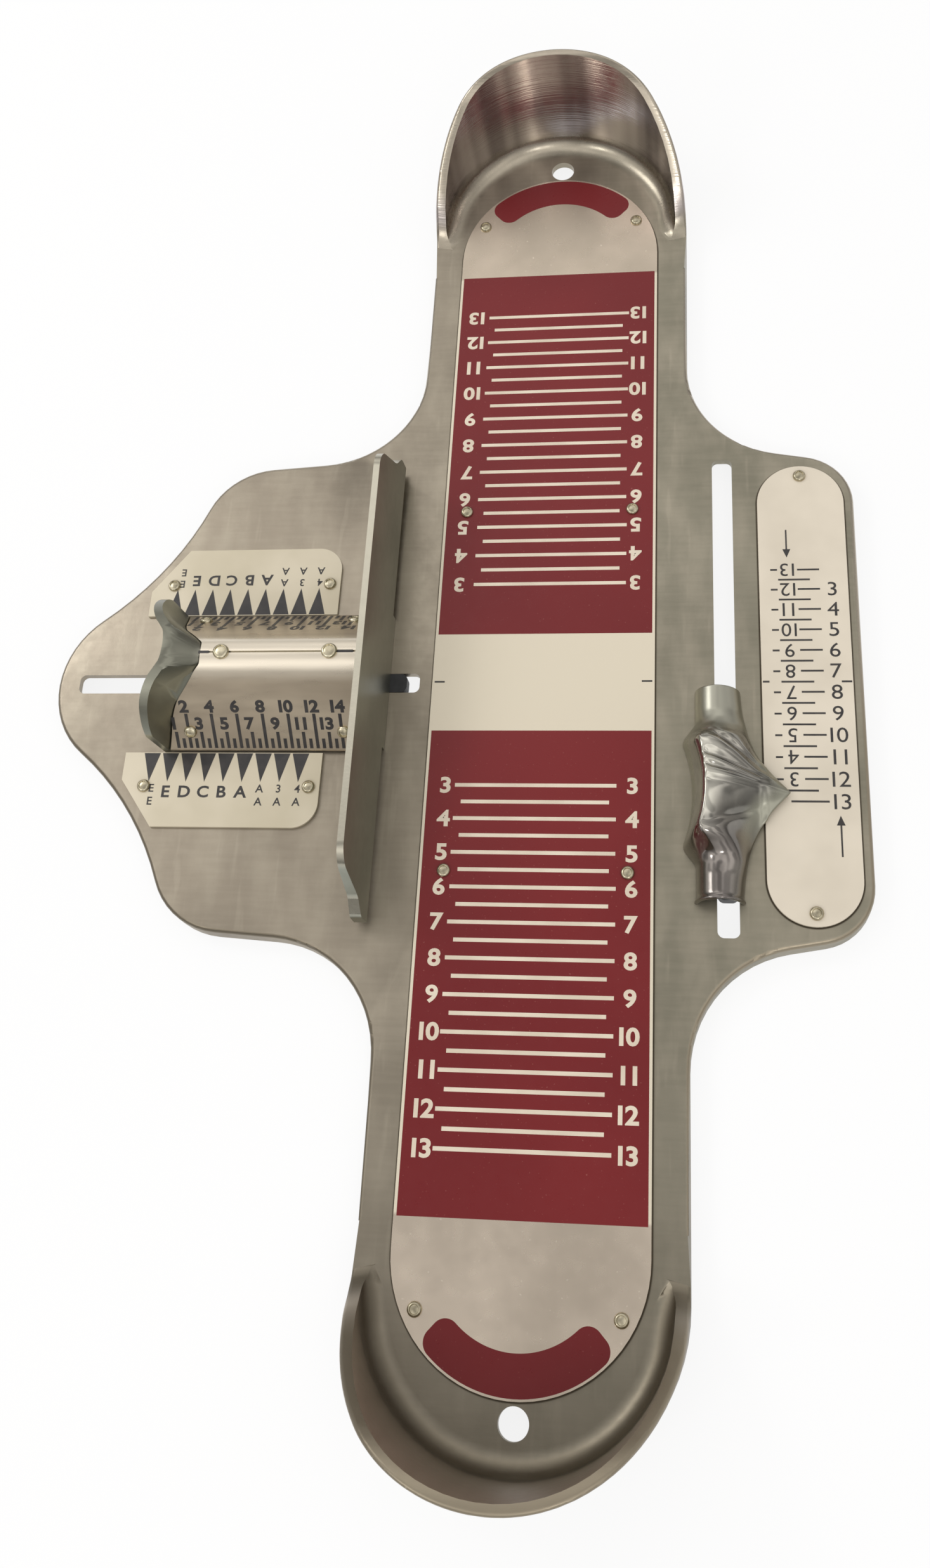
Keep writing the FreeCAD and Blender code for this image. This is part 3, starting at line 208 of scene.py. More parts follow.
def joint_line(place, x, y, half):
    """1 in the narrow joint round a sheet whose round ends have their centres at x and at y and -y, where a
    line of painted shade goes.
    """
    away = (abs(place.axis("Y")) - y).calc("MAXIMUM", 0)
    across = place.axis("X") - x
    outside = (across * across + away * away).calc("SQRT") - half
    return 1 - abs(outside - 0.1).rise(0.1, 0.45)


def satin_casting(place, normal):
    height = place.axis("Z")
    up = normal.axis("Z")
    bed = up.rise(0.9, 0.99)
    wall = height.rise(0.5, 6.0)
    far_cup = place.axis("Y").rise(-20, 20)
    past_end = abs(place.axis("Y")) - plate_end_y
    # Rims and rounded edges are painted lighter: partly wear where use rubs them, partly a painted highlight
    # where they round over.
    rim = height.rise(2.0, 12.0) * up.rise(0.35, 0.6)
    edge = up.rise(0.12, 0.4) * (1 - bed) * (1 - wall) * (1 - past_end.rise(-4, 0) * 0.6)
    rim_wear_and_highlight = (rim + edge).calc("MINIMUM", 1)
    # Bands of painted reflection run up and down the cups' walls, with a few bright strokes that are painted
    # reflections of the lamps.
    angle = place.axis("X").calc("ARCTAN2", past_end)
    painted_reflection_streaks = angle.node("ShaderNodeCombineXYZ", {}, {0: angle}).cloud(1 / 3.2, 2.0).rise(0.35, 0.65)
    for stroke, spread, strength in ((-0.24, 0.09, 0.8), (0.36, 0.16, 0.5), (-0.6, 0.14, 0.15)):
        painted_reflection_streaks = painted_reflection_streaks + (1 - abs(angle - stroke).rise(0.0, spread)) * strength
    # The bed is painted a little lighter on its left, where the light falls, and is greener on its right. It
    # is rubbed and scratched by use, and painted darker towards the near heel and in the near cup's hollow,
    # as painted shade.
    rubbed = place.cloud(7, 5.0, (1, 2.5, 1)).rise(0.35, 0.75)
    brushed = place.cloud(1.2, 3.0, (9, 1, 1)).rise(0.3, 0.7)
    scratch = place.cloud(2.2, 2.0, (1, 9, 1)).rise(0.6, 0.75)
    # Painted light: the bed is a little lighter on its left, where the light falls.
    side = place.axis("X").rise(-60, 50)
    grey = place.mottle(45, side.tint(colour(140, 131, 117), colour(131, 127, 112)),
                        side.tint(colour(154, 144, 129), colour(148, 143, 127)))
    grey = (rubbed * 0.4 + brushed * 0.12 + scratch * 0.2).tint(grey, colour(176, 167, 150))
    near_heel_shade = 1 - place.axis("Y").rise(-172, -60)
    # Painted shade in the near cup's hollow, where the bed turns up into the wall.
    hollow = height.rise(-0.9, 0.5) * (1 - up.rise(0.88, 0.995)) * (1 - height.rise(4, 8)) * (1 - far_cup)
    grey = (near_heel_shade * 0.6).tint(grey, colour(112, 106, 94))
    grey = (hollow * 0.8).tint(grey, colour(84, 78, 67))
    # A narrow line of painted shade round each plate, where the sheet stands proud of the bed.
    grey = joint_line(place, 0, plate_end_y, plate_half).tint(grey, joint_shade)
    grey = joint_line(place, arch_plate_x, arch_plate_end_y, arch_plate_half).tint(grey, joint_shade)
    # Only the inside of the far cup is still polished, and only it takes the painted reflection streaks; the
    # other walls are a plain grey, lighter to the left.
    polished_and_painted_reflections = (painted_reflection_streaks * 0.6).tint(colour(128, 119, 119), colour(236, 228, 226))
    dull = place.axis("X").rise(-30, 20).tint(colour(176, 166, 153), colour(152, 144, 132))
    inside = 1 - normal.axis("Y").rise(-0.05, 0.3)
    cup = (far_cup * inside).tint(dull, polished_and_painted_reflections)
    # The near cup's rims are painted darker, as in shade, and darker still to the left; the far cup's rims
    # are lighter, as lit.
    near_rim = place.axis("X").rise(-36, -10).tint(colour(116, 108, 94), colour(150, 140, 122))
    far_rim = colour(172, 163, 148)
    roughness = 0.46 - far_cup * 0.14 - far_cup * wall * 0.07 - edge * 0.1 - painted_reflection_streaks * wall * 0.05
    grain = place.cloud(0.8) + place.cloud(3.5, 2.0, (1, 2.5, 1)) + brushed * 0.4
    buffed_lines = place.cloud(0.35, 1.0, (80, 80, 1)) * wall * far_cup * 4
    return {
        "Base Color": rim_wear_and_highlight.tint(wall.tint(grey, cup), far_cup.tint(near_rim, far_rim)),
        "Metallic": 1.0,
        "Roughness": roughness + (place.cloud(2.2, 4.0) - 0.5) * 0.16,
        "Normal": (grain + buffed_lines).relief(0.011)}


def step(value, start, end):
    """0 up to start, 1 from end on, and a smooth rise between."""
    share = min(max((value - start) / (end - start), 0.0), 1.0)
    return share * share * (3 - 2 * share)


bed_z = -0.8
floor_corner_y = 128.0
floor_corner_share = 0.982
ramp_start = 139.6
ramp_end = 152.0
full_ramp_y = 147.5
start_share = 0.35
slack = 0.3
foot_x = 28.2
foot_width = 4.6
foot_end_x = 32.4
foot_end_y = 141.3
tip_x = 31.0
tip_edge_x = 33.0
outer_x = 36.4
near_pulls = (2.2, 3.4)
far_pulls = (1.0, 2.0)


def ease_ramps(shape):
    """Draws the ramps at the cups' ends out to a point on the bed, with a gentle start, and draws the
    corners of the cups' floors in."""
    for vertex in shape.verts:
        x, y, z = abs(vertex.co.x) / MM, abs(vertex.co.y) / MM, vertex.co.z / MM
        if abs(y - floor_corner_y) < 0.5 and x > outer_x - 0.4:
            vertex.co.x *= floor_corner_share
        if z < bed_z - slack or x < foot_x - slack or y < ramp_start - slack:
            continue
        if y < foot_end_y and x < foot_end_x:
            x += (tip_x - foot_x) * (1 - (x - foot_x) / foot_width)
        outer_pull, tip_pull = near_pulls if vertex.co.y < 0 else far_pulls
        pull = outer_pull + (tip_pull - outer_pull) * (1 - step(x, tip_edge_x, outer_x))
        pull *= step(x, foot_x, tip_x) * (1 - step(y, ramp_start, ramp_end))
        share = start_share + (1 - start_share) * step(y, ramp_start, full_ramp_y)
        vertex.co = (math.copysign(x * MM, vertex.co.x), math.copysign((y - pull) * MM, vertex.co.y),
                     (bed_z + (z - bed_z) * share) * MM)


dress("base_plate", "tray", finish("tray_casting", satin_casting), ease=ease_ramps)

# The long size plate is anodised sheet, pressed flat and riveted down. Its middle is a cream panel, its
# ends are bare silver under the heels, and the red is screened on with the lines and numbers left bare.
cream_half = 13.2
red_reach = 126.3
sheet_rounding = 0.2


def anodised(place, normal):
    silver = abs(place.axis("Y")).rise(red_reach - 1, red_reach)
    worn = place.cloud(26).rise(0.35, 0.7)
    specks = place.cloud(0.9, 1.0).rise(0.7, 0.8)
    # The bare metal is painted lighter towards the near end and darker towards the far end, as lit and
    # shaded.
    metal = place.axis("Y").rise(-60, 60).tint(worn.tint(colour(200, 187, 170), colour(222, 208, 190)),
                                               worn.tint(colour(182, 170, 153), colour(202, 188, 170)))
    metal = (specks * 0.5).tint(metal, colour(236, 226, 208))
    return {
        "Base Color": silver.tint(colour(216, 206, 185), metal),
        "Metallic": silver * 0.75 + 0.12,
        "Roughness": 0.34 - silver * 0.08 + (place.cloud(4.0, 4.0) - 0.5) * 0.14,
        "Normal": place.cloud(25, 2.0).relief(0.02)}


dress("size_plate", "tray", finish("anodised_plate", anodised), rounding=sheet_rounding)

ink_depth = 0.02
ink_top = 0.03
flat = Matrix.Identity(4)


def extrude_ink(shape, face, place, top):
    """Gives a flat patch in millimetres its thickness and puts it on the plane of place."""
    grown = bmesh.ops.extrude_face_region(shape, geom=[face])["geom"]
    raised = [item for item in grown if isinstance(item, bmesh.types.BMVert)]
    bmesh.ops.translate(shape, verts=list(face.verts), vec=(0, 0, -ink_depth))
    bmesh.ops.translate(shape, verts=raised, vec=(0, 0, top))
    both = list(face.verts) + raised
    bmesh.ops.scale(shape, verts=both, vec=(MM, MM, MM))
    bmesh.ops.transform(shape, verts=both, matrix=place)


def ink_patch(shape, points, place=flat, top=ink_top):
    """A straight-sided patch of ink."""
    extrude_ink(shape, shape.faces.new([shape.verts.new((x, y, 0)) for x, y in points]), place, top)


def ink_line(shape, x0, x1, y0, y1, place=flat, top=ink_top):
    """A line or block of ink between two corners."""
    ink_patch(shape, [(x0, y0), (x1, y0), (x1, y1), (x0, y1)], place, top)


def ink_text(shape, text, x, y, height, place=flat, turn=0, weight=0.0, width=1.0, top=ink_top):
    """A number or size letter centred on a spot. weight thickens its strokes."""
    curve = bpy.data.curves.new("ink", "FONT")
    curve.body = text
    curve.offset = weight
    curve.space_character = 0.84
    curve.resolution_u = 4
    curve.extrude = 0.5
    letter = bpy.data.objects.new("ink", curve)
    mesh = bpy.data.meshes.new_from_object(letter)
    corners = [vertex.co for vertex in mesh.vertices]
    left, right = min(c.x for c in corners), max(c.x for c in corners)
    foot, head = min(c.y for c in corners), max(c.y for c in corners)
    to_size = Matrix.Diagonal((height / (head - foot) * width, height / (head - foot), top + ink_depth, 1))
    to_middle = Matrix.Translation((-(left + right) / 2, -(foot + head) / 2, 0))
    to_spot = Matrix.Translation((x, y, (top - ink_depth) / 2)) @ Matrix.Rotation(math.radians(turn), 4, "Z")
    mesh.transform(place @ Matrix.Scale(MM, 4) @ to_spot @ to_size @ to_middle)
    shape.from_mesh(mesh)
    bpy.data.meshes.remove(mesh)
    bpy.data.objects.remove(letter)
    bpy.data.curves.remove(curve)


def print_ink(name, shape, body, material):
    """Turns the patches of ink into one piece."""
    bmesh.ops.recalc_face_normals(shape, faces=shape.faces)
    mesh = bpy.data.meshes.new(name)
    shape.to_mesh(mesh)
    shape.free()
    fit(name, mesh, body, material)


def red_lacquer(place, normal):
    dust = place.cloud(0.55, 1.0).rise(0.7, 0.8)
    shade = place.mottle(60, colour(108, 28, 31), colour(118, 33, 35), 2.0)
    return {
        "Base Color": (dust * 0.3).tint(shade, colour(180, 120, 110)),
        "Specular IOR Level": 0.3,
        "Roughness": 0.3 + (place.cloud(3.0) - 0.5) * 0.16,
        "Normal": place.cloud(30, 2.0).relief(0.01)}


edge_left = 0.7
band_inside = 19.1
band_outside = 27.6
band_angle = 51
band_round = 3.2
round_angle = band_angle - math.degrees(math.asin(band_round / (band_inside + band_round)))
degrees_a_step = 3


def on_ray(side, end, radius, aside=0.0):
    """A place by its distance from the centre of a band, along the ray through the rounding of one of the
    band's ends, and its distance beside that ray."""
    turn = Matrix.Rotation(math.radians(end * round_angle), 3, "Z")
    return Vector((0, side * plate_end_y, 0)) + turn @ Vector((-side * end * aside, side * radius, 0))


def sweep(shape, vertex, middle, degrees):
    """Draws an arc of edges from a vertex round a middle and returns its last vertex."""
    turned = bmesh.ops.spin(shape, geom=[vertex], cent=middle, axis=(0, 0, 1), angle=math.radians(degrees),
                            steps=int(abs(degrees) / degrees_a_step))
    return next(item for item in turned["geom_last"] if isinstance(item, bmesh.types.BMVert))


red_print = bmesh.new()
for side in (1, -1):
    near, far = sorted((side * cream_half, side * red_reach))
    ink_line(red_print, -plate_half + edge_left, plate_half - edge_left, near, far)
    band = bmesh.new()
    last = band.verts.new(on_ray(side, -1, band_inside))
    for end, radius, reach in ((1, band_inside, 2 * round_angle), (-1, band_outside, -2 * round_angle)):
        last = sweep(band, last, (0, side * plate_end_y, 0), reach)
        inner = math.copysign(band_round, reach)
        last = sweep(band, last, on_ray(side, end, radius + inner), -90)
        other = band_outside - band_round if reach > 0 else band_inside + band_round
        start = band.verts.new(on_ray(side, end, other, band_round))
        band.edges.new((last, start))
        last = sweep(band, start, on_ray(side, end, other), -90)
    bmesh.ops.remove_doubles(band, verts=band.verts, dist=0.01)
    bmesh.ops.contextual_create(band, geom=band.edges)
    extrude_ink(band, band.faces[:][0], flat, ink_top)
    band_mesh = bpy.data.meshes.new("band")
    band.to_mesh(band_mesh)
    red_print.from_mesh(band_mesh)
    band.free()
    bpy.data.meshes.remove(band_mesh)
print_ink("size_plate_red", red_print, "tray", finish("red_lacquer", red_lacquer))

# Lines and numbers of the size scale: bare sheet that the red was kept off. Whole sizes have long lines
# and a number at each end, half sizes short ones. One size is a third of an inch.
size_step = 25.4 / 3
first_size = 3
last_size = 13
first_line = 27.45
line_half = 0.47
whole_reach = 19.8
half_reach = 18.1
inner_lines = 5
inner_shift = 0.77
outer_shift = 0.53
number_x = 22.9
number_height = 4.2
scale_top = 0.05
scale_lines = bmesh.new()
for side in (1, -1):
    for half_steps in range(2 * (last_size - first_size) + 1):
        whole = half_steps % 2 == 0
        y = side * (first_line + half_steps * size_step / 2)
        shift = side * (inner_shift if half_steps < inner_lines else outer_shift)
        reach = whole_reach if whole else half_reach
        ink_line(scale_lines, shift - reach, shift + reach, y - line_half, y + line_half, top=scale_top)
        if whole:
            for x in (-number_x, number_x):
                ink_text(scale_lines, str(first_size + half_steps // 2), x, y, number_height,
                         turn=90 + 90 * side, weight=0.032, width=1.12, top=scale_top)
bare_sheet = finish("bare_sheet", lambda place, normal: {
    "Base Color": place.mottle(12, colour(210, 196, 176), colour(224, 212, 192)),
    "Metallic": 0.1,
    "Roughness": 0.36})
print_ink("size_plate_scale", scale_lines, "tray", bare_sheet)


def black_print(place, normal):
    return {
        "Base Color": place.cloud(3).rise(0.3, 0.8).tint(colour(40, 38, 38), colour(58, 54, 52)),
        "Roughness": 0.42 + (place.cloud(1.5, 2.0) - 0.5) * 0.2}


black_ink = finish("black_ink", black_print)
mark_x = 26.2
mark_reach = 1.3
mark_half = 0.22
centre_marks = bmesh.new()
for x in (-mark_x, mark_x):
    ink_line(centre_marks, x - mark_reach, x + mark_reach, -mark_half, mark_half)
print_ink("size_plate_centre_marks", centre_marks, "tray", black_ink)

# Two width plates of the same sheet, one each side of the bar. Each has a row of black teeth towards the
# bar, one for each width, and its letters under them. The corners towards the nose are clipped.
width_sheet = finish("width_sheet", lambda place, normal: {
    "Base Color": place.axis("X").rise(0, 50).tint(
        place.mottle(22, colour(194, 184, 160), colour(208, 198, 176)),
        place.mottle(22, colour(212, 202, 184), colour(224, 214, 196))),
    "Metallic": 0.2,
    "Roughness": 0.32 + (place.cloud(1.2) - 0.5) * 0.14,
    "Normal": place.cloud(20, 2.0).relief(0.01)})
for node in ("width_plate_left", "width_plate_right"):
    dress(node, "tray", width_sheet, rounding=sheet_rounding)
first_tooth_x = -99.2
tooth_pitch = 4.86
tooth_half = 2.15
tooth_base = 19.4
tooth_tip = 27.0
letter_row = 29.6
letter_height = 3.1
small_rows = (28.7, 32.1)
small_height = 2.1
widest_shift = 1.0
teeth = bmesh.new()
for side in (1, -1):
    for i, letters in enumerate(("EE", "E", "D", "C", "B", "A", "AA", "3A", "4A")):
        x = first_tooth_x + tooth_pitch * i
        ink_patch(teeth, [(x - tooth_half, side * tooth_base), (x + tooth_half, side * tooth_base),
                          (x, side * tooth_tip)])
        turn = 90 + 90 * side
        if len(letters) == 1:
            ink_text(teeth, letters, x, side * letter_row, letter_height, turn=turn,
                     weight=0.024, width=1.08)
        else:
            x += widest_shift if letters == "EE" else 0
            for letter, row in zip(letters, small_rows):
                ink_text(teeth, letter, x, side * row, small_height, turn=turn, weight=0.014)
print_ink("width_plate_scale", teeth, "tray", black_ink)

# The arch plate is the same sheet with round ends. Two rows of numbers run opposite ways for the left and
# the right foot, with an arrow at the start of each row and a mark across the middle of the tray.
dress("arch_plate", "tray", width_sheet, rounding=sheet_rounding)
arch_step = 5.606
stroke = 0.24
right_start = 25.0
right_tick = (63.9, 69.4)
right_end_tick = (60.5, 69.4)
right_number_x = 72.4
right_height = 3.8
left_start = 30.5
left_tick = (57.2, 58.9)
left_number_x = 61.4
left_height = 3.6
half_tick = (59.1, 67.0)
centre_ticks = ((54.6, 56.2), (73.6, 76.1))
centre_tick_y = -0.3
arrows = ((61.4, 42.0, 34.0), (71.8, -44.5, -34.5))
arrow_head = 2.4
arrow_half = 1.0
shaft_half = 0.2
arch_lines = bmesh.new()
for size in range(first_size, last_size + 1):
    last = size == last_size
    y = right_start - arch_step * (size - first_size)
    ink_line(arch_lines, *(right_end_tick if last else right_tick), y - stroke, y + stroke)
    ink_text(arch_lines, str(size), right_number_x, y, right_height, width=1.12)
    y = left_start - arch_step * (last_size - size)
    ink_line(arch_lines, *left_tick, y - stroke, y + stroke)
    ink_text(arch_lines, str(size), left_number_x, y, left_height, turn=180, width=1.05)
    if last:
        ink_line(arch_lines, *right_tick, y - stroke, y + stroke)
    y -= arch_step / 2
    ink_line(arch_lines, *half_tick, y - stroke, y + stroke)
for ends in centre_ticks:
    ink_line(arch_lines, *ends, centre_tick_y - stroke, centre_tick_y + stroke)
for x, tail, tip in arrows:
    neck = tip - math.copysign(arrow_head, tip - tail)
    ink_line(arch_lines, x - shaft_half, x + shaft_half, *sorted((tail, neck)))
    ink_patch(arch_lines, [(x - arrow_half, neck), (x + arrow_half, neck), (x, tip)])
print_ink("arch_plate_scale", arch_lines, "tray", black_ink)

# Every sheet is held by small tubular rivets. Those of the tray are steel with a plated head, and those
# of the bar are driven in and show a little brass.
dome_depth = 0.24
round_corners = 12


def dome_heads(shape):
    """Rounds the flat tops of the rivets' heads."""
    bmesh.ops.dissolve_limit(shape, angle_limit=nearly_flat, verts=shape.verts, edges=shape.edges)
    tops = [face for face in shape.faces if len(face.verts) >= round_corners and face.normal.z > 0.3]
    for face in tops:
        for vertex in face.verts:
            vertex.co -= face.normal * dome_depth * MM
    bmesh.ops.poke(shape, faces=tops, offset=dome_depth * MM, use_relative_offset=False)


rivet_metal = finish("rivet_metal", lambda place, normal: {
    "Base Color": place.mottle(1.5, colour(160, 152, 130), colour(194, 185, 161), 2.0),
    "Metallic": 1.0,
    "Roughness": place.cloud(0.8, 2.0) * 0.2 + 0.16})
for node in ("size_plate_rivets", "width_plate_rivets", "arch_plate_rivets"):
    dress(node, "tray", rivet_metal, crease=75, ease=dome_heads)
brass = finish("brass_rivet", lambda place, normal: {
    "Base Color": place.mottle(1.5, colour(180, 171, 146), colour(206, 197, 172), 2.0),
    "Metallic": 1.0,
    "Roughness": place.cloud(0.8, 2.0) * 0.2 + 0.14})
for node in ("ridge_rivets", "table_rivets"):
    dress(node, "width_slide", brass, crease=75, ease=dome_heads)

# The width bar is a second casting in the same alloy: a roof-shaped saddle with an upright fence for the
# side of the foot and a curved thumb grip. Its upper faces that look up are painted lighter, partly as wear
# and partly as painted highlight, and less so on the grip, whose faces that look up are darker.


def handled_casting(place, normal):
    up = normal.axis("Z")
    grip = 1 - place.axis("X").rise(-85, -80)
    # Faces that look up, above the saddle's foot, are painted lighter: partly wear, partly painted
    # highlight.
    rubbed = up.rise(0.25, 0.75) * place.axis("Z").rise(3, 9) * (1 - grip * 0.75)
    grey = place.mottle(16, colour(144, 146, 135), colour(162, 163, 152), 4.0, (1, 2, 1))
    grey = (grip * up.rise(0.15, 0.5)).tint(grey, colour(112, 114, 103))
    return {
        "Base Color": (rubbed * 0.8).tint(grey, colour(186, 180, 164)),
        "Metallic": 1.0,
        "Roughness": 0.36 - rubbed * 0.16 + (place.cloud(2.5, 4.0) - 0.5) * 0.14,
        "Normal": (place.cloud(1.0) + place.cloud(6, 2.0)).relief(0.012)}


dress("width_bar", "width_slide", finish("bar_casting", handled_casting), crease=50,
      rounding=0.8)

# Two printed sheets are bent over the saddle's slopes and meet on its ridge. They carry the shoe sizes
# that are read against the teeth. Odd sizes stand below the even ones, and half sizes have short ticks.
# The sheets are painted lighter along the ridge, as a painted highlight.
table_sheet = finish("table_sheet", lambda place, normal: {
    "Base Color": place.axis("Z").rise(15, 19).tint(
        place.mottle(10, colour(176, 162, 142), colour(200, 186, 164), 3.0, (4, 1, 1)),
        colour(228, 218, 200)),
    "Metallic": 0.8,
    "Roughness": place.cloud(2.0, 3.0, (5, 1, 1)) * 0.2 + 0.2,
    "Normal": place.cloud(1.5, 2.0, (6, 1, 1)).relief(0.006)})
for node in ("width_table_left", "width_table_right"):
    dress(node, "width_slide", table_sheet)
slope_angle = math.radians(50.4)
slope_foot = 18.1
slope_foot_z = 0.3
sheet_outside = 0.65
table_sizes = 14
table_start = 92.0
table_step = 3.3
table_height = 3.6
table_shift = -0.3
even_row = 12.4
odd_row = 7.5
tick_half = 0.42
tick_foot = 0.4
even_tick = 10.3
odd_tick = 5.1
short_tick = 3.2
slit_half = 0.36
ridge_z = 19.74
ridge = Matrix.Translation((0, 0, ridge_z * MM))
for side, name, slit in ((-1, "left", (-84.6, -80.8)), (1, "right", (-48.9, -44.4))):
    rising = Vector((0, -side * math.cos(slope_angle), math.sin(slope_angle)))
    outward = Vector((0, side * math.sin(slope_angle), math.cos(slope_angle)))
    slope = Matrix((Vector((-side, 0, 0)), rising, outward)).transposed().to_4x4()
    slope.translation = (Vector((0, side * slope_foot, slope_foot_z)) + outward * sheet_outside) * MM
    ticks = bmesh.new()
    for size in range(1, table_sizes + 1):
        row, tick = (odd_row, odd_tick) if size % 2 else (even_row, even_tick)
        x = side * (table_start - table_step * (size - 1))
        ink_text(ticks, str(size), x + table_shift, row, table_height, slope, weight=0.042, width=1.02)
        ink_line(ticks, x - tick_half, x + tick_half, tick_foot, tick, slope)
        if size < table_sizes:
            x -= side * table_step / 2
            ink_line(ticks, x - tick_half, x + tick_half, tick_foot, short_tick, slope)
    # A strip of black ink on the ridge, beyond each of its rivets, is painted shade in the slit between the
    # sheets.
    ink_line(ticks, *slit, -slit_half, slit_half, ridge)
    print_ink("width_table_scale_" + name, ticks, "width_slide", black_ink)

# The arch pointer is a small casting, polished all over: a half-round tunnel over the slot that swells into
# a hump, with a hollow for the ball of the foot on one side and a fluted beak that ends over the scale.
pointer_low, pointer_high = box_of("arch_pointer")
pointer_y = (pointer_low.y + pointer_high.y) / 2
pointer_half = pointer_high.y - pointer_y
block_low, block_high = box_of("arch_guide_block")
slot_x = (block_low.x + block_high.x) / 2
beak_reach = pointer_high.x - slot_x
beak_root = 3.3
beak_spread = 9.2
tunnel_x = 43.2
tunnel_half = 5.3
foot_z = -0.65
hollow_x = 1.3
hollow_foot = 35.8
hollow_top = 39.2
skirt_z = 0.6
beak_z = 1.9
web_slope = 0.32
plate_edge = 53.2
near_side_hollow = 1.7
# Where the hump turns into the tunnel's shape, by the distance from the beak along the pointer.
crest_turns = (10.0, 17.0)
wall_turns = (12.0, 18.0)
slope_turns = (3.0, 14.0)
near_side_turns = (9.0, 19.0)
web_turns = (17.0, 21.0)
# How high the crest stands, by that distance.
crest_heights = ((0, 12.9), (4, 12.8), (8, 12.5), (11, 11.8), (12.5, 10.8), (14, 8.8), (16, 6.7), (18, 5.8),
                 (20, 5.4), (27, 5.4))
# Each lobe between the flutes: where it starts and ends on the crest, and how deep the flutes beside it are.
lobes = ((13.0, 6.4, 1.5), (6.4, 3.9, 1.3), (3.9, -0.3, 1.8), (-0.3, -9.5, 1.0))
lip = 0.9
lip_spread = 0.09
smooth_passes = 4
pointer_wall = 1.0


def along_table(table, value):
    """Reads a table of pairs, and goes straight from one pair to the next."""
    for (start, low), (end, high) in zip(table, table[1:]):
        if value <= end:
            return low + (high - low) * (value - start) / (end - start)
    return table[-1][1]


def round_hollow(radius, t):
    """X of an arc round the middle of the hollow for the foot."""
    return hollow_x + math.sqrt(radius ** 2 - t * t)


def on_pointer(across, along):
    """A place on the pointer's skin. across runs from the foot's side to the scale's, -1 to 1."""
    t = along * pointer_half
    away = abs(t)
    to_tunnel = step(away, *wall_turns)
    crest = round_hollow(hollow_top, t)
    crest += step(away, *crest_turns) * (tunnel_x - crest)
    top = along_table(crest_heights, away)
    if across < 0:
        foot_edge = round_hollow(hollow_foot, t)
        foot_edge += to_tunnel * (tunnel_x - tunnel_half - foot_edge)
        # A half-round tunnel at the ends, and a wall that leans back in between.
        turn = -across * math.pi / 2
        lean = (1 - to_tunnel) * 0.75
        x = crest - (crest - foot_edge) * (math.sin(turn) * (1 - lean) - across * lean)
        down = 1 - math.cos(turn) * (1 - lean) - (1 - (-across) ** 1.35) * lean
        return x, t, top - (top - foot_z) * down
    far_edge = slot_x + beak_root + (beak_reach - beak_root) * math.exp(-((away / beak_spread) ** 1.15))
    reach = far_edge - crest
    x = crest + reach * across ** 1.1
    share = min((x - crest) / reach, 1.0)
    low = skirt_z + (beak_z - skirt_z) * step(x, plate_edge, plate_edge + 1.6)
    low += web_slope * (far_edge - x)
    low += (foot_z - low) * step(away, *web_turns)
    # The slope is full at the tunnel and hollow on the near side of the beak.
    bulge = 1.12 + 0.88 * step(away, *slope_turns)
    round_over = 1 / bulge ** 0.8
    near_side = (1 - step(t, -3.0, 3.0)) * (1 - step(away, *near_side_turns))
    round_over += near_side * (near_side_hollow - round_over)
    return x, t, low + (top - low) * (1 - share ** bulge) ** round_over


def flute(x, t, z):
    """How far the skin lies below the tops of the lobes. The flutes run together at the beak's tip."""
    left = min(max((slot_x + beak_reach - x) / (beak_reach + 4.2), 0.05), 1.0)
    start = t / left ** 0.9
    dip = 0.0
    for upper, lower, depth in lobes:
        if lower <= start <= upper:
            dip = depth * (1 - math.sin(math.pi * (start - lower) / (upper - lower)) ** 0.6)
    for end, depth in ((lobes[0][0], lobes[0][2]), (lobes[-1][1], lobes[-1][2])):
        if (start - end) * end > 0:
            dip = depth * math.exp(-(((start - end) / 1.2) ** 2))
    crest = round_hollow(hollow_top, t)
    return dip * left ** 0.4 * step(z, 1.8, 5.0) * step(x, crest - 0.8, crest + 1.0)


skin = bmesh.new()
bmesh.ops.create_grid(skin, x_segments=60, y_segments=140, size=1.0)
for vertex in skin.verts:
    x, t, z = on_pointer(vertex.co.x, vertex.co.y)
    spread = 1 + lip_spread * step(-t, pointer_half - lip, pointer_half - 0.2)
    vertex.co = ((tunnel_x + (x - tunnel_x) * spread) * MM, (pointer_y + t) * MM,
                 (foot_z + (z - foot_z - flute(x, t, z)) * spread) * MM)
inner = [vertex for vertex in skin.verts if not vertex.is_boundary]
for _ in range(smooth_passes):
    bmesh.ops.smooth_vert(skin, verts=inner, factor=0.5, use_axis_x=True, use_axis_y=True, use_axis_z=True)
bmesh.ops.recalc_face_normals(skin, faces=skin.faces)
if sum(face.normal.z for face in skin.faces) < 0:
    bmesh.ops.reverse_faces(skin, faces=skin.faces)
for face in skin.faces:
    face.smooth = True
pointer_mesh = bpy.data.meshes.new("arch_pointer_polished")
skin.to_mesh(pointer_mesh)
skin.free()


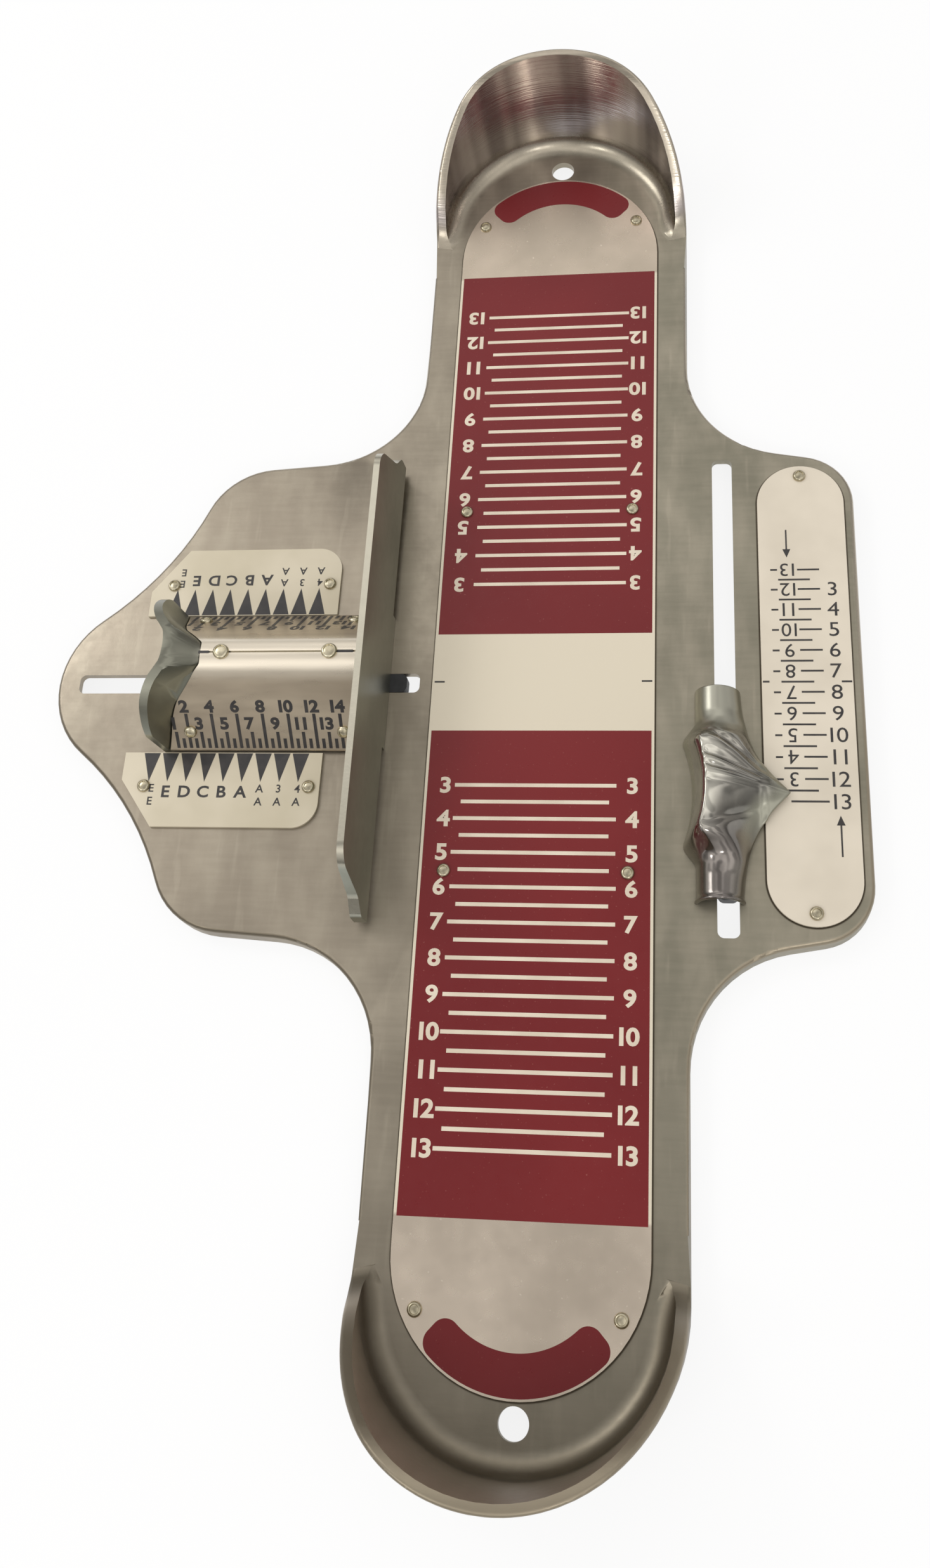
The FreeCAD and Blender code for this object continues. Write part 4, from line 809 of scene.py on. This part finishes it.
def polish(place, normal):
    up = normal.axis("Z")
    height = place.axis("Z")
    # Painted light on the pointer: shade on the steep faces towards the scale, a highlight along the crest,
    # a reflection of the bed on the low web, and a darker reflection on the near end of the tunnel.
    steep = (1 - up.rise(0.3, 0.85)) * place.axis("X").rise(40, 44)
    web = 1 - height.rise(3, 6)
    crest = height.rise(10, 12.6) * up.rise(0.5, 0.9)
    far_end = place.axis("Y").rise(-20, -13)
    near_end = 1 - place.axis("Y").rise(-46, -34)
    silver = place.mottle(7, colour(124, 122, 116), colour(156, 152, 144))
    silver = (crest * 0.7).tint(silver, colour(222, 219, 206))
    silver = (web * 0.7).tint(silver, colour(158, 158, 142))
    silver = far_end.tint(silver, colour(168, 166, 153))
    silver = (near_end * 0.6).tint(silver, colour(118, 110, 108))
    return {
        "Base Color": (steep * (1 - web) * 0.8).tint(silver, colour(62, 61, 57)),
        "Metallic": 1.0,
        "Roughness": place.cloud(3.0) * 0.1 + 0.07 + far_end.calc("MAXIMUM", web * 0.8) * 0.22,
        "Normal": place.cloud(2.4, 2.0).relief(0.012)}


pointer = fit("arch_pointer_polished", pointer_mesh, "arch_slide",
              finish("pointer_casting", polish))
wall = pointer.modifiers.new("wall", "SOLIDIFY")
wall.thickness = pointer_wall * MM
wall.offset = -1
rounded = pointer.modifiers.new("smooth", "SUBSURF")
rounded.levels = 1
rounded.render_levels = 1
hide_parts("arch_pointer")

# In each slot rides a moulded black block. Under the bed a winged spring and a plated steel plate hold
# the slide down, and two screws draw them up through the block into the casting.
plastic = finish("guide_plastic", lambda place, normal: {
    "Base Color": place.mottle(2, colour(24, 24, 26), colour(36, 36, 38)),
    "Roughness": place.cloud(1.0) * 0.2 + 0.4})
plated = finish("plated_steel", lambda place, normal: {
    "Base Color": place.mottle(9, colour(150, 150, 148), colour(176, 176, 174)),
    "Metallic": 1.0,
    "Roughness": place.cloud(2.0, 3.0, (5, 1, 1)) * 0.2 + 0.22})
for slide in ("width", "arch"):
    dress(slide + "_guide_block", slide + "_slide", plastic, crease=35)
    for part in ("friction_spring", "retainer_plate", "screws"):
        dress(slide + "_" + part, slide + "_slide", plated, crease=35)

# The device lies on a white table under a wide soft ceiling that is darker overhead, with a window at its
# left and two lamps behind the camera. The table shows white to the eye and in the metal, and keeps the
# shadow.
table_half = 3.0
table_gap = 0.2
table = bmesh.new()
bmesh.ops.create_grid(table, x_segments=1, y_segments=1, size=table_half)
bmesh.ops.translate(table, verts=table.verts, vec=(0, 0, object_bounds()[0][2] - table_gap * MM))
table_mesh = bpy.data.meshes.new("table")
table.to_mesh(table_mesh)
table.free()
table_top = bpy.data.objects.new("table", table_mesh)
scene.collection.objects.link(table_top)
table_white = finish("table_white", lambda place, normal: {
    "Base Color": place.cloud(400, 2.0).tint((0.88, 0.88, 0.88, 1), (0.9, 0.9, 0.9, 1)),
    "Roughness": 0.9})
table_mesh.materials.append(table_white)
output = next(node for node in table_white.node_tree.nodes if node.type == "OUTPUT_MATERIAL")
matt = Wire(table_white.node_tree, output.inputs["Surface"].links[0].from_socket)
camera_ray, glossy_ray, clear_ray = (matt.node("ShaderNodeLightPath", {}, {}, "Is " + kind + " Ray")
                                     for kind in ("Camera", "Glossy", "Transmission"))
seen = (camera_ray + glossy_ray + clear_ray) * 0.85
white = seen.node("ShaderNodeEmission", {}, {"Strength": 1.0})
matt.fill(output, {"Surface": seen.node("ShaderNodeMixShader", {}, {0: seen, 1: matt, 2: white})})

studio = bpy.data.worlds.new("studio")
studio.use_nodes = True
scene.world = studio
air = Wire(studio.node_tree)
way = air.node("ShaderNodeTexCoord", {}, {}, "Generated")
overhead = way.axis("Z")
side_light = overhead.rise(-0.1, 0.75).tint((0.3, 0.29, 0.28, 1), (1.2, 1.18, 1.16, 1))
ceiling = overhead.rise(0.87, 1.0).tint(side_light, (0.8, 0.785, 0.77, 1))
patches = way.cloud(1 / 2.6, 0.0).rise(0.4, 0.6)
lit = air.node("ShaderNodeVectorMath", {"operation": "SCALE"}, {0: ceiling, "Scale": patches * 0.6 + 0.62})
in_view = air.node("ShaderNodeLightPath", {}, {}, "Is Camera Ray")
air.fill(studio.node_tree.nodes["Background"], {"Color": in_view.tint(lit, (1.0, 1.0, 1.0, 1))})


def soft_lamp(name, spot, width, power):
    """A square soft lamp aimed at the middle of the tray."""
    light = bpy.data.lights.new(name, "AREA")
    light.shape = "SQUARE"
    light.size = width
    light.energy = power
    holder = bpy.data.objects.new(name, light)
    holder.location = spot
    holder.rotation_euler = (-Vector(spot)).to_track_quat("-Z", "Y").to_euler()
    scene.collection.objects.link(holder)


soft_lamp("window", (-0.62, 0.32, 0.62), 0.3, 1.2)
soft_lamp("left lamp", (-0.75, -0.7, 0.8), 0.16, 1.0)
soft_lamp("right lamp", (0.33, -0.95, 0.8), 0.16, 1.0)

# The camera stands over the near end of the tray, a little to the right. Its lens is shifted, so the middle
# of the picture isn't straight ahead of it.
lens = bpy.data.cameras.new("camera")
lens.sensor_width = 36.0
lens.lens = 33.89
lens.shift_x = -0.0202
lens.shift_y = -0.0982
camera = bpy.data.objects.new("camera", lens)
to_right = Vector((0.9904392, 0.0496908, -0.1286897))
to_top = Vector((0.0086425, 0.9086881, 0.4173862))
to_back = Vector((0.1376790, -0.4145078, 0.8995709))
turned = Matrix((to_right, to_top, to_back)).transposed().to_4x4()
camera.matrix_world = Matrix.Translation((0.0398348, -0.1426719, 0.3407521)) @ turned
scene.collection.objects.link(camera)
scene.camera = camera
scene.view_settings.view_transform = "Standard"
